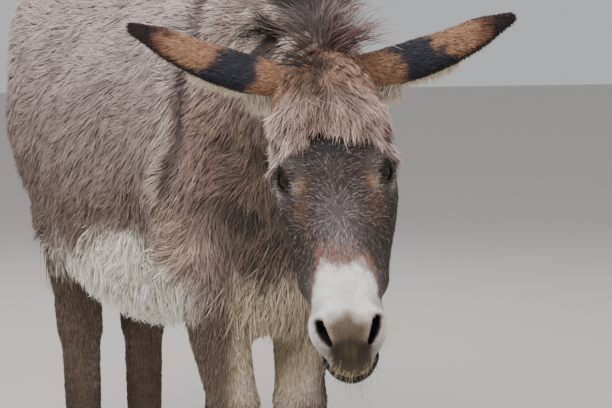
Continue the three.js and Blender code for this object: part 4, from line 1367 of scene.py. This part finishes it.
on_neck, on_rear = tri_y <= -330, tri_y >= 80
on_fore = ~on_neck & ~on_rear
BODY_REGIONS = (
    ("coat_flank_right_rear", (tri_x < 0) & on_rear),
    ("coat_flank_right_fore", (tri_x < 0) & on_fore),
    ("coat_flank_left_rear", (tri_x >= 0) & on_rear),
    ("coat_flank_left_fore", (tri_x >= 0) & on_fore),
    ("coat_neck", on_neck),
)
for name, region in BODY_REGIONS:
    density = (tri_body & region) * BODY_DENSITY
    short_coat(name, density, 0.2, 21.0, 41, trunk_lift, (1.5, 3.0), 0.75, 0.14, trunk_place)
for name, region in (("coat_legs_fore", tri_y < LEGS_PART_Y), ("coat_legs_hind", tri_y >= LEGS_PART_Y)):
    density = (tri_leg & region) * LEG_DENSITY
    short_coat(name, density, 0.12, 9.0, 42, leg_lift, (1.3, 2.6), 0.6, 0.1, leg_place)


# ---- Long hair under the belly and on the chest ----
def long_hair(name, density, length, lift, droop, width, seed):
    root, normal = scatter(density)
    flow = lie_of_coat(root, normal, 0.25)
    pull, key = gathered(root, normal, 20.0, seed, 0.7)
    long = length * rng.uniform(0.6, 1.15, len(root))
    rise = np.radians(lift + rng.normal(0, 8, len(root)))
    thick = width * rng.uniform(0.7, 1.3, len(root))
    rows = blade_rows(root, normal, flow, long, thick, rise, 4, fall=0.9, droop=droop, pull=pull, bow=0.16)
    colour = varied(markings(root, normal), key, 0.2)
    coat_piece(name, (), rows, colour, trunk_place(root), (0.55, 0.85, 1.0, 1.1))


facing_down = ramp(-0.1, -0.6, tri_normal[:, 2]) * tri_body
belly = facing_down * ramp(-330, -280, tri_y) * ramp(360, 300, tri_y) * ramp(680, 620, tri_z)
chest = tri_body * ramp(-300, -360, tri_y) * ramp(690, 630, tri_z) * ramp(120, 85, np.abs(tri_x - 8))
long_hair("coat_belly", belly * BELLY_DENSITY, 58, 30, 0.55, 2.8, 51)
long_hair("coat_chest", chest * CHEST_DENSITY, 62, 20, 0.5, 2.6, 52)


# ---- Face ----
def head_place(q):
    angle = np.arctan2(q[:, 0], 80 - q[:, 2]) / (2 * np.pi) + 0.5
    return np.stack((angle, np.clip((q[:, 1] + 90) / 590, 0, 1)), 1)


def open_skin(q):
    """1 where the head's skin carries hair, 0 inside the nostrils, the mouth and the lids."""
    free = np.ones(len(q))
    for s in SIDES:
        around, depth = nostril_field(q, s)
        free *= 1 - ((around < 1.0) & (depth < 32) & (depth > -20) & (q[:, 0] * s > 0))
        u, w, _, r = eye_place(q, s)
        gap = np.abs(w + 0.5) - slit_height(u)
        free *= 1 - ((r < 26) & ((gap < 1.8) | (r < 20.6)))
    slit = q[:, 2] - mouth_depth(q[:, 1])
    free *= 1 - ((np.abs(slit) < 2.5) & (q[:, 1] > 405))
    return free


def face_length(q):
    y, z = q[:, 1], q[:, 2]
    length = 8.5 + 3.0 * ramp(70, 110, z) + 7.0 * ramp(150, 200, z) + 3.0 * ramp(130, 60, y)
    length = length + 2.5 * ramp(110, 60, z)
    length = mix(length, 4.2, ramp(300, 400, y))
    length = mix(length, 2.8, ramp(415, 440, y))
    return length * rng.uniform(0.7, 1.25, len(q))


def face_hair_colour(q, root, normal, key):
    """The markings, streaked, with pale hairs strewn down the middle of the dark face."""
    n, x, y = len(q), np.abs(q[:, 0]), q[:, 1]
    above = ramp(350, 305, y - 60 * ramp(30, 46, x))
    streak = np.exp(rng.normal(0, 1, n) * mix(0.2, 0.55, above) * ramp(110, 60, q[:, 2]))
    colour = varied(markings(root, normal), key, 0.12, 0.0, 0.0) * streak[:, None]
    chance = 0.46 * bump(x, 0, 30) * ramp(195, 262, y) + 0.13
    pale = above * (rng.random(n) < chance)
    return tint(colour, FACE_HAIR, pale * rng.uniform(0.15, 0.8, n))


def face_coat(name, density):
    root, normal = scatter(density)
    q = to_head(root)
    flow = lie_of_coat(root, normal, 0.25)
    pull, key = gathered(root, normal, 5.0, 43, 0.45)
    length = face_length(q)
    lift = np.radians(12 + rng.normal(0, 5, len(root)))
    width = mix(0.64, 0.6, ramp(330, 420, q[:, 1])) * rng.uniform(0.7, 1.3, len(root))
    width = width * mix(1.0, 1.9, ramp(60, 100, q[:, 2]))
    rows = blade_rows(root, normal, flow, length, width, lift, 2, fall=0.6, pull=pull, bow=0.1)
    coat_piece(name, (), rows, face_hair_colour(q, root, normal, key), head_place(q), FINE_SHADE)


on_head = (tri_head >= 0.5) * open_skin(tri_q)
face_coat("coat_face", on_head * (tri_along > 120) * (tri_deep < 62) * FACE_DENSITY)
face_coat("coat_cheeks", on_head * ((tri_along <= 120) | (tri_deep >= 62)) * CHEEK_DENSITY)


# ---- Forelock: short tan hair on the poll and deep wool over the brow ----
def forelock_colour(q, root, deep):
    x, y = q[:, 0], q[:, 1]
    c = tint(plain(WOOL_BROWN, len(q)), WOOL_PALE, ramp(28, 64, -x) * 0.75 + 0.5 * ramp(40, 75, x))
    c = tint(c, WOOL_PALE, 0.35 * ramp(90, 130, y))
    c = tint(c, POLL_TAN, 1 - deep)
    ridge = bump(x + 8 + 5 * wave_noise(root, 40, 66), 0, 12)
    c = tint(c, WOOL_DARK, ridge * mix(0.45, 1.0, ramp(90, 40, y)))
    return tint(c, WOOL_DARK, 0.5 * ramp(0.6, 1.4, wave_noise(root, 30, 67)))


def make_forelock():
    on_brow = (tri_along > -14) * (tri_deep < 84) * (tri_along < 104 + 46 * np.clip(tri_out / 80, 0, 1.1))
    root, normal = scatter((tri_head > 0.3) * on_brow * FORELOCK_DENSITY)
    n, q = len(root), to_head(root)
    x, y, wide = q[:, 0], q[:, 1], np.abs(q[:, 0])
    outward = np.stack((x / 62, 1.0 + 0 * x, 0.1 + 0.25 * ramp(20, 70, q[:, 2])), 1)
    flow = along_skin(unit(outward) @ HEAD + 0.3 * noise_vectors(root, 45, 61), normal)
    pull, key = gathered(root, normal, 14.0, 62, 0.75)
    deep = ramp(34, 76, y - 8 * bump(wide, 0, 16))
    length = mix(19.0, mix(56.0, 40.0, ramp(60, 130, y)), deep) * mix(1.0, 0.72, ramp(44, 74, wide))
    length = length * rng.uniform(0.7, 1.15, n)
    lift = mix(30.0, mix(50.0, 30.0, ramp(60, 140, y)), deep) - 22 * ramp(42, 72, wide)
    lift = np.radians(lift + 8 * wave_noise(root, 40, 65) + 14 * (key - 0.5) + rng.normal(0, 7, n))
    width = rng.uniform(1.1, 2.3, n)
    rows = blade_rows(root, normal, flow, length, width, lift, 4, fall=0.95, droop=0.25, pull=pull, bow=0.2)
    colour = varied(forelock_colour(q, root, deep), key, 0.24, 0.14, 0.16)
    place = np.stack(((x + 130) / 262, (y + 30) / 232), 1)
    coat_piece("coat_forelock", ("forelock",), rows, colour, place, (0.45, 0.78, 1.0, 1.15))


make_forelock()


# ---- Hair of the ears ----
def outer_colour(t, angle, opening, point):
    return ear_colour(t, angle, opening, wave_noise(point, 26, 72))


def dark_rim(t, angle, opening, point):
    return tint(outer_colour(t, angle * 0, opening, point), EAR_TIP, ramp(0.22, 0.36, t))


def lining(t, angle, opening, point):
    return plain(EAR_LINING, len(t)) * mix(1.0, 0.8, ramp(0.5, 0.9, t))[:, None]


# tufts, from and to along the ear, how far round (1 for the rims only), inside, length, width,
# lift in degrees, turn towards the rim, droop, colour
EAR_HAIR = (
    (19000, -0.02, 1.0, 0.98, False, 12.5, 1.2, 22.0, 0.12, 0.0, outer_colour),
    (3800, 0.22, 1.0, 1.0, False, 10.0, 1.3, 12.0, 0.6, 0.1, dark_rim),
    (900, 0.93, 1.0, 0.98, False, 15.0, 1.4, 14.0, 0.2, 0.0, dark_rim),
    (3400, 0.0, 0.8, 0.97, True, 24.0, 1.2, 40.0, 0.35, 0.5, lining),
    (2600, 0.0, 0.62, 1.0, True, 30.0, 1.2, 25.0, 0.8, 0.5, lining),
    (1500, -0.02, 0.27, 1.0, True, 56.0, 1.5, 20.0, 0.9, 0.9, lining),
)


def ear_hair(s, count, low, high, reach, inner, length, width, lift, outward, droop, colour_of):
    """One kind of hair on one ear, as blade rows, their colours and their places on the baking map."""
    t = low + (high - low) * rng.random(count)
    opening = ear_opening(s, t)
    if reach < 1:
        angle = opening * reach * rng.uniform(-1, 1, count)
    else:
        angle = opening * rng.choice(SIDES[::-1], count) * rng.uniform(0.9, 1.0, count)
    point, normal, around, axis = ear_point(s, t, angle, EAR_WALL if inner else 0.0)
    normal = normal * (-1 if inner else 1)
    flow = axis * (1 - outward) + around * np.sign(angle)[:, None] * outward
    flow = unit(flow + 0.18 * rng.normal(size=flow.shape))
    flow = unit(flow - normal * (flow * normal).sum(1, keepdims=True) * 0.8)
    long = length * rng.uniform(0.65, 1.2, count)
    rise = np.radians(lift + rng.normal(0, 7, count))
    thick = width * rng.uniform(0.7, 1.3, count)
    rows = blade_rows(point, normal, flow, long, thick, rise, 2, droop=droop, bow=0.1)
    key = locks(point, 8.0, 71)[1]
    colour = varied(colour_of(t, angle, opening, point), key, 0.14, 0.08, 0.08)
    return rows, colour, np.stack((0.5 + 0.48 * angle / np.pi, np.clip(t, 0, 1)), 1)


for side in SIDES:
    kinds = [ear_hair(side, *kind) for kind in EAR_HAIR]
    rows, colour, place = (np.concatenate(parts) for parts in zip(*kinds))
    coat_piece(f"coat_ear_{SIDE_NAMES[side]}", (), rows, colour, place, FINE_SHADE)

# ---- Mane: dark upright hair along the crest, and locks that stand out from the right side of the neck ----
MANE_COUNT, SIDE_LOCKS, TUFTS_PER_LOCK = 7000, 26, 52
CREST_LINE = ((-790, -680, -540, -400, -200), (-112, -66, -22, -5, 0))  # across, for places along the body
FAN_LINE = np.array((0.883, -0.469, 0.0))  # level, to the left and ahead; side locks fan out over it
DROP_FROM = 1290.0  # a height above the whole neck
ROOT_DEPTH = 14.0  # of the mane's roots under the outline of the coat
LOWEST_ROOT = 900.0  # mane roots that fell past the neck lie below this


def fall_to_skin(x, y):
    """Where points dropped from above meet the skin."""
    p = np.stack((x, y, np.full(len(x), DROP_FROM)), 1)
    for _ in range(70):
        f = flesh(p) + ROOT_DEPTH
        p[:, 2] -= np.clip(0.85 * f, -6, 60)
    return p


def crest_hair():
    """Roots, directions, facings, lengths, pulls, lock numbers and colours of the upright hair."""
    y = mix(-778.0, -196.0, rng.random(MANE_COUNT) ** 0.85)
    spread = np.clip(rng.normal(0, 15, MANE_COUNT), -32, 32)
    root = fall_to_skin(np.interp(y, *CREST_LINE) + spread, y)
    kept = root[:, 2] > LOWEST_ROOT
    y, spread, root, count = y[kept], spread[kept], root[kept], kept.sum()
    normal = unit(gradient(flesh, root))
    run = unit(np.stack((np.interp(y, (-790, -600, -200), (0.35, 0.2, 0.0)), 1 + 0 * y, 0.5 + 0 * y), 1))
    sideways = unit(np.cross(run, UP))
    rise = unit(np.cross(sideways, run))
    rise = rise * np.sign(rise[:, 2:3])
    poll = ramp(-640, -740, y)
    pull, key = gathered(root, normal, 24.0, 81, 0.6)
    other = (key * 37.0) % 1.0
    fan = mix(0.03, 0.05, poll) * spread + rng.normal(0, 1, count) * mix(0.16, 0.24, poll) + 1.1 * (key - 0.5)
    lean = rng.normal(0.0, 0.2, count) + 1.3 * (other - 0.5) - 0.1 * poll
    direction = unit(rise + sideways * fan[:, None] + run * lean[:, None])
    length = mix(72.0, 88.0, poll) * ramp(-190, -300, y) * rng.uniform(0.5, 1.12, count) + 12
    c = tint(plain(MANE_BLACK, count), MANE_BROWN, 0.9 * (other > 0.55) + 0.3 * rng.random(count))
    c = tint(c, MANE_RED, ramp(-700, -745, y) * ramp(0.15, 0.5, other))
    c = tint(c, LIT_BODY_TOP, 0.6 * (np.abs(other - 0.36) < 0.13) * ramp(-520, -600, y) * ramp(-755, -715, y))
    strewn = rng.random(count) < 0.1 + 0.3 * (np.abs(spread) > 20)
    c = tint(c, LIT_BODY_TOP, 0.8 * strewn * ramp(-690, -640, y))
    return root + normal * 2, direction, sideways, length, pull, key, c


def side_locks():
    """The same for the locks on the side of the neck, where all tufts of a lock leave in one direction."""
    lock = np.repeat(np.arange(SIDE_LOCKS), TUFTS_PER_LOCK)
    x, y = rng.normal(-92, 13, SIDE_LOCKS), rng.normal(-606, 22, SIDE_LOCKS)
    root = fall_to_skin(x[lock] + rng.normal(0, 2.5, len(lock)), y[lock] + rng.normal(0, 3, len(lock)))
    kept = root[:, 2] > LOWEST_ROOT
    lock, root, count = lock[kept], root[kept], kept.sum()
    normal = unit(gradient(flesh, root))
    around = np.radians(rng.uniform(78, 196, SIDE_LOCKS))[lock]
    way = FAN_LINE * np.cos(around)[:, None] + UP * np.sin(around)[:, None]
    way = unit(way + rng.normal(0, 0.04, way.shape) + normal * rng.uniform(0.35, 0.8, SIDE_LOCKS)[lock, None])
    length = rng.uniform(62, 112, SIDE_LOCKS)[lock] * rng.uniform(0.6, 1.1, count)
    key, colour = rng.random(SIDE_LOCKS)[lock], plain(0.6 * MANE_BLACK, count)
    return root, way, unit(np.cross(way, HEADING)), length, np.zeros((count, 3)), key, colour


def make_mane():
    root, direction, sideways, length, pull, key, c = (
        np.concatenate(parts) for parts in zip(crest_hair(), side_locks())
    )
    width, upright = rng.uniform(1.0, 2.2, len(root)), np.full(len(root), np.pi / 2)
    shape = dict(fall=-0.02, droop=0.35, pull=pull * 0.4, bow=0.14)
    rows = blade_rows(root, direction, sideways, length, width, upright, 5, **shape)
    place = np.stack(((root[:, 1] + 790) / 610, np.clip(0.5 + (root[:, 0] + 50) / 260, 0, 1)), 1)
    colour = varied(c, key, 0.2, 0.08, 0.1)
    coat_piece("mane_hair", ("mane",), rows, colour, place, (0.7, 0.9, 1.0, 1.25))


make_mane()

# ---- Tail: short hair on the dock and the long tuft below it ----
DOCK_COUNT, TAIL_COUNT = 5200, 2600


def tail_root(t, angle, depth):
    """Roots round the dock, at a part of its radius, with their normals and the dock's run."""
    middle, run, rise, r = tail_frame(t)
    normal = np.cos(angle)[:, None] * ACROSS + np.sin(angle)[:, None] * rise
    return middle + normal * (r * depth)[:, None], normal, unit(run)


def make_dock_coat():
    count = DOCK_COUNT
    t, angle = rng.random(count) * 0.97, rng.uniform(0, 2 * np.pi, count)
    root, normal, run = tail_root(t, angle, 1.0)
    pull, key = gathered(root, normal, 9.0, 91, 0.4)
    length = mix(15.0, 36.0, ramp(0.3, 1.0, t)) * rng.uniform(0.7, 1.2, count)
    lift = np.radians(18 + rng.normal(0, 6, count))
    rows = blade_rows(root, normal, run, length, rng.uniform(1.6, 2.8, count), lift, 3, pull=pull, bow=0.1)
    c = tint(plain(BODY_MID, count), STRIPE, 0.8 * ramp(0.2, -0.6, -normal[:, 1]) + 0.4 * ramp(0.7, 1, t))
    place = np.stack((angle / (2 * np.pi), t), 1)
    coat_piece("coat_tail_dock", ("tail_dock",), rows, varied(c, key), place)


def make_tail_tuft():
    count = TAIL_COUNT
    t = 1 - 0.36 * rng.random(count) ** 1.4
    angle = rng.uniform(0, 2 * np.pi, count)
    root, normal, run = tail_root(t, angle, 0.8)
    pull, key = gathered(root, normal, 12.0, 92, 0.4)
    bottom = mix(430.0, 560.0, rng.random(count) ** 2)
    length = (root[:, 2] - bottom) * 1.02
    lift = np.radians(10 + rng.normal(0, 3, count))
    width = rng.uniform(1.6, 3.0, count)
    rows = blade_rows(root, normal, run, length, width, lift, 8, fall=1.2, droop=0.12, pull=pull, bow=0.035)
    c = tint(plain(MANE_BLACK, count), MANE_BROWN, rng.random(count) ** 2)
    place = np.stack((angle / (2 * np.pi), (t - 0.6) / 0.4), 1)
    coat_piece("tail_hair", ("tail_tuft",), rows, varied(c, key, 0.25), place)


make_dock_coat()
make_tail_tuft()


# ---- Whiskers and lashes ----
def fine_hairs(name, root, normal, flow, length, width, lift, colour, droop, bow=0.1):
    rows = blade_rows(root, normal, flow, length, width, lift, 5, fall=0.9, droop=droop, bow=bow)
    place = np.stack((np.linspace(0, 1, len(root)), np.full(len(root), 0.5)), 1)
    coat_piece(name, (), rows, colour, place, (0.9, 1.0, 1.0, 1.0))


def make_whiskers():
    """Long bristles on the muzzle and the chin, and a fringe of short ones along the lower lip."""
    x, y, z = tri_out, tri_along, tri_deep
    below_lip = (y > 440) * (np.abs(z - 64) < 12) * (x < 34)
    bristly = on_head * ((y > 425) * (z > 40) + (y > 330) * (z > 118) * 0.5 + (y > 380) * (x > 36) * 0.35)
    root, normal = scatter(bristly * BRISTLE_DENSITY + on_head * below_lip * LIP_BRISTLE_DENSITY)
    n = len(root)
    on_lip = np.abs(to_head(root)[:, 2] - 64) < 12
    flow = unit(lie_of_coat(root, normal, 0.6) + np.array((0, 0, -0.3)))
    length = np.where(on_lip & (rng.random(n) < 0.93), rng.uniform(6, 13, n), rng.uniform(16, 46, n))
    lift = np.radians(rng.uniform(25, 65, n))
    colour = np.where(rng.random((n, 1)) < 0.6, WHISKER_PALE, WHISKER_DARK)
    fine_hairs("whiskers", root, normal, flow, length, np.full(n, 0.3), lift, colour, 0.5, 0.2)


def make_lashes(s, n=150):
    along, across, gaze = eye_axes(s)
    u = rng.uniform(-15, 13, n)
    w = slit_height(u) + rng.uniform(0.5, 2.5, n)
    g = np.sqrt(np.clip((EYE_RADIUS + 4.0) ** 2 - u**2 - w**2, 0, None))
    out = unit(gaze + 0.35 * across + 0.02 * u[:, None] * along) @ HEAD
    flow = unit(out + 0.25 * rng.normal(size=(n, 3)) + np.array((0, 0, -0.15)))
    length, lift = rng.uniform(9, 19, n), np.radians(rng.uniform(-5, 25, n))
    root, normal, width = from_eye(s, u, w, g), plain(across @ HEAD, n), np.full(n, 0.8)
    name = f"lashes_{SIDE_NAMES[s]}"
    fine_hairs(name, root, normal, flow, length, width, lift, plain(LASH, n), 0.35)


make_whiskers()
for side in SIDES:
    make_lashes(side)


# ---- Eyes: a ball with a bulging cornea, a flat oval pupil and a rayed iris ----
def ring_caps(rings, sides):
    """One face across the first ring of points and one across the last."""
    first = np.arange(sides)[None, :]
    return first, first + (rings - 1) * sides


def make_eyeball(s, sides=72):
    theta = np.concatenate((np.linspace(0.02, 0.8, 44), np.linspace(0.84, np.pi - 0.02, 20)))
    th, ph = (a.reshape(-1) for a in np.meshgrid(theta, ring_angles(sides), indexing="ij"))
    ball = EYE_RADIUS - 0.3 + 1.3 * np.exp(-((th / 0.62) ** 4))
    u, w, g = ball * np.sin(th) * np.cos(ph), ball * np.sin(th) * np.sin(ph), ball * np.cos(th)
    first, last = ring_caps(len(theta), sides)
    faces = [ring_quads(len(theta), sides), first, last[:, ::-1]]
    me = facing_out("eyeball", from_eye(s, u, w, g), faces)
    out = np.hypot(u, w)
    rays = 1 + 0.35 * np.sin(46 * ph + 3 * np.sin(5 * ph)) * ramp(3, 9, out)
    c = tint(plain(IRIS, len(th)) * rays[:, None], PUPIL, ramp(1.12, 0.9, np.hypot(u / 8.2, w / 4.6)))
    c = tint(c, IRIS_EDGE, ramp(10.0, 12.5, out))
    c = tint(c, SCLERA, ramp(13.6, 15.0, out) + (th > 1.2))
    paint(me, np.clip(c, 0, 1))
    add_piece(f"eyeball_{SIDE_NAMES[s]}", me, eye_material, (f"eye_{SIDE_NAMES[s]}",))


for side in SIDES:
    make_eyeball(side)

# ---- Hooves: ringed walls with a worn edge, heel bulbs and a hollow sole ----
CORONET_Z, CORONET_SLOPE = 60.0, 0.34
HOOF_SIDES, HOOF_LEVELS = 72, 30
HOOF_HALF_WIDTH, HOOF_HALF_LENGTH = 42.5, 49.5
SOLE_RINGS = ((0.9, 0.0), (0.84, 2.0), (0.6, 4.0), (0.3, 3.0), (0.02, 3.0))  # size, height of the hollow


def wall_ring(x, y, up):
    """One ring of a hoof's wall, at a height from 0 at the ground to 1 at the coronet."""
    angle = ring_angles(HOOF_SIDES)
    scale = mix(1.0, 0.8, up) - 0.03 * bump(up, 0, 0.03)
    scale = scale + 0.0035 * np.sin(up * 30) * np.sin(np.pi * up) + 0.02 * bump(up, 0.96, 0.05)
    at_heel = np.sin(angle) > 0
    px = x + HOOF_HALF_WIDTH * scale * np.cos(angle)
    py = y + mix(-12.0, 0.0, up) + HOOF_HALF_LENGTH * scale * np.sin(angle) * (1 - 0.18 * at_heel)
    py = py - 7.0 * bump(np.cos(angle), 0, 0.2) * at_heel * mix(1.0, 0.3, up)
    rim = CORONET_Z + CORONET_SLOPE * (py - y) + 3.0
    return np.stack((px, py, up * rim), 1)


def sole_ring(edge, x, y, inset, deep):
    """A ring of the sole inside the wall's edge, with the frog standing proud of the hollow."""
    centre = np.array((x, y - 14.0, 0.0))
    ring = centre + (edge - centre) * inset
    frog = ring[:, 1] > y - 20
    ring[:, 2] = deep - 2.5 * frog * bump(ring[:, 0], x, 9) * (deep > 0)
    return ring


def hoof_shape(x, y):
    wall = [wall_ring(x, y, k / (HOOF_LEVELS - 1)) for k in range(HOOF_LEVELS)]
    sole = [sole_ring(wall[0], x, y, inset, deep) for inset, deep in SOLE_RINGS[::-1]]
    top = wall[-1] * (0.5, 0.5, 1) + np.array((x * 0.5, y * 0.5, 0))
    rings = sole + wall + [top]
    first, last = ring_caps(len(rings), HOOF_SIDES)
    return np.concatenate(rings), [ring_quads(len(rings), HOOF_SIDES), first[:, ::-1], last]


def make_hoof(end, s, x, y):
    me = facing_out("hoof_wall", *hoof_shape(x, y))
    p = points_of(me)
    c = tint(plain(HORN_DARK, len(p)), HORN_PALE, 0.35 + 0.12 * wave_noise(p * (1, 1, 0.2), 30, 95))
    c = tint(c, HORN_SOLE, (p[:, 2] < 1.0) * 0.8)
    paint(me, tint(c, HORN_PALE * 0.8, ramp(8, 0, p[:, 2])))
    name = SIDE_NAMES[s]
    add_piece(f"hoof_wall_{end}_{name}", me, horn_material, (f"hoof_{end}_{name}",))


for side in SIDES:
    make_hoof("fore", side, side * TRACK_FORE + SHIFT_FORE, FORE_Y - 22)
for side in SIDES:
    make_hoof("hind", side, side * TRACK_HIND + SHIFT_HIND, HIND_Y - 12)


# ---- Camera, floor and light ----
def place_camera():
    data = bpy.data.cameras.new("camera")
    data.sensor_width = 36.0
    data.lens = 36.0 * 1750 / 612
    camera = bpy.data.objects.new("camera", data)
    camera.location = (-1.3061, -2.8769, 0.990)
    camera.rotation_euler = (np.radians(84.7), 0.0, np.radians(-28.0))
    bpy.context.scene.collection.objects.link(camera)
    bpy.context.scene.camera = camera


def area_light(name, place, target, size, power, colour):
    data = bpy.data.lights.new(name, "AREA")
    data.shape = "DISK"
    data.size = size
    data.energy = power
    data.color = colour
    light = bpy.data.objects.new(name, data)
    light.location = place
    light.rotation_euler = (Vector(target) - Vector(place)).to_track_quat("-Z", "Y").to_euler()
    bpy.context.scene.collection.objects.link(light)


def light_world():
    world = bpy.data.worlds.new("world")
    bpy.context.scene.world = world
    world.use_nodes = True
    background = world.node_tree.nodes["Background"]
    background.inputs["Color"].default_value = (0.80, 0.81, 0.83, 1.0)
    background.inputs["Strength"].default_value = 0.66


def lay_floor(half=30):
    me = bpy.data.meshes.new("floor")
    corners = [(-half, -half, 0), (half, -half, 0), (half, half, 0), (-half, half, 0)]
    me.from_pydata(corners, [], [(0, 1, 2, 3)])
    material, _, _, shader = shader_of("floor")
    shader.inputs["Base Color"].default_value = (0.58, 0.56, 0.53, 1.0)
    shader.inputs["Roughness"].default_value = 0.9
    add_object("floor", me, material)


place_camera()
area_light("light_key", (-2.6, -2.2, 4.2), (0.0, -0.2, 0.7), 3.0, 285.0, (1.0, 0.985, 0.96))
area_light("light_fill", (3.0, -3.6, 2.6), (0.0, -0.5, 0.7), 3.0, 52.0, (0.94, 0.97, 1.0))
area_light("light_back", (1.5, 3.6, 3.4), (0.0, 0.2, 0.8), 2.5, 78.0, (1.0, 0.98, 0.95))
light_world()
lay_floor()
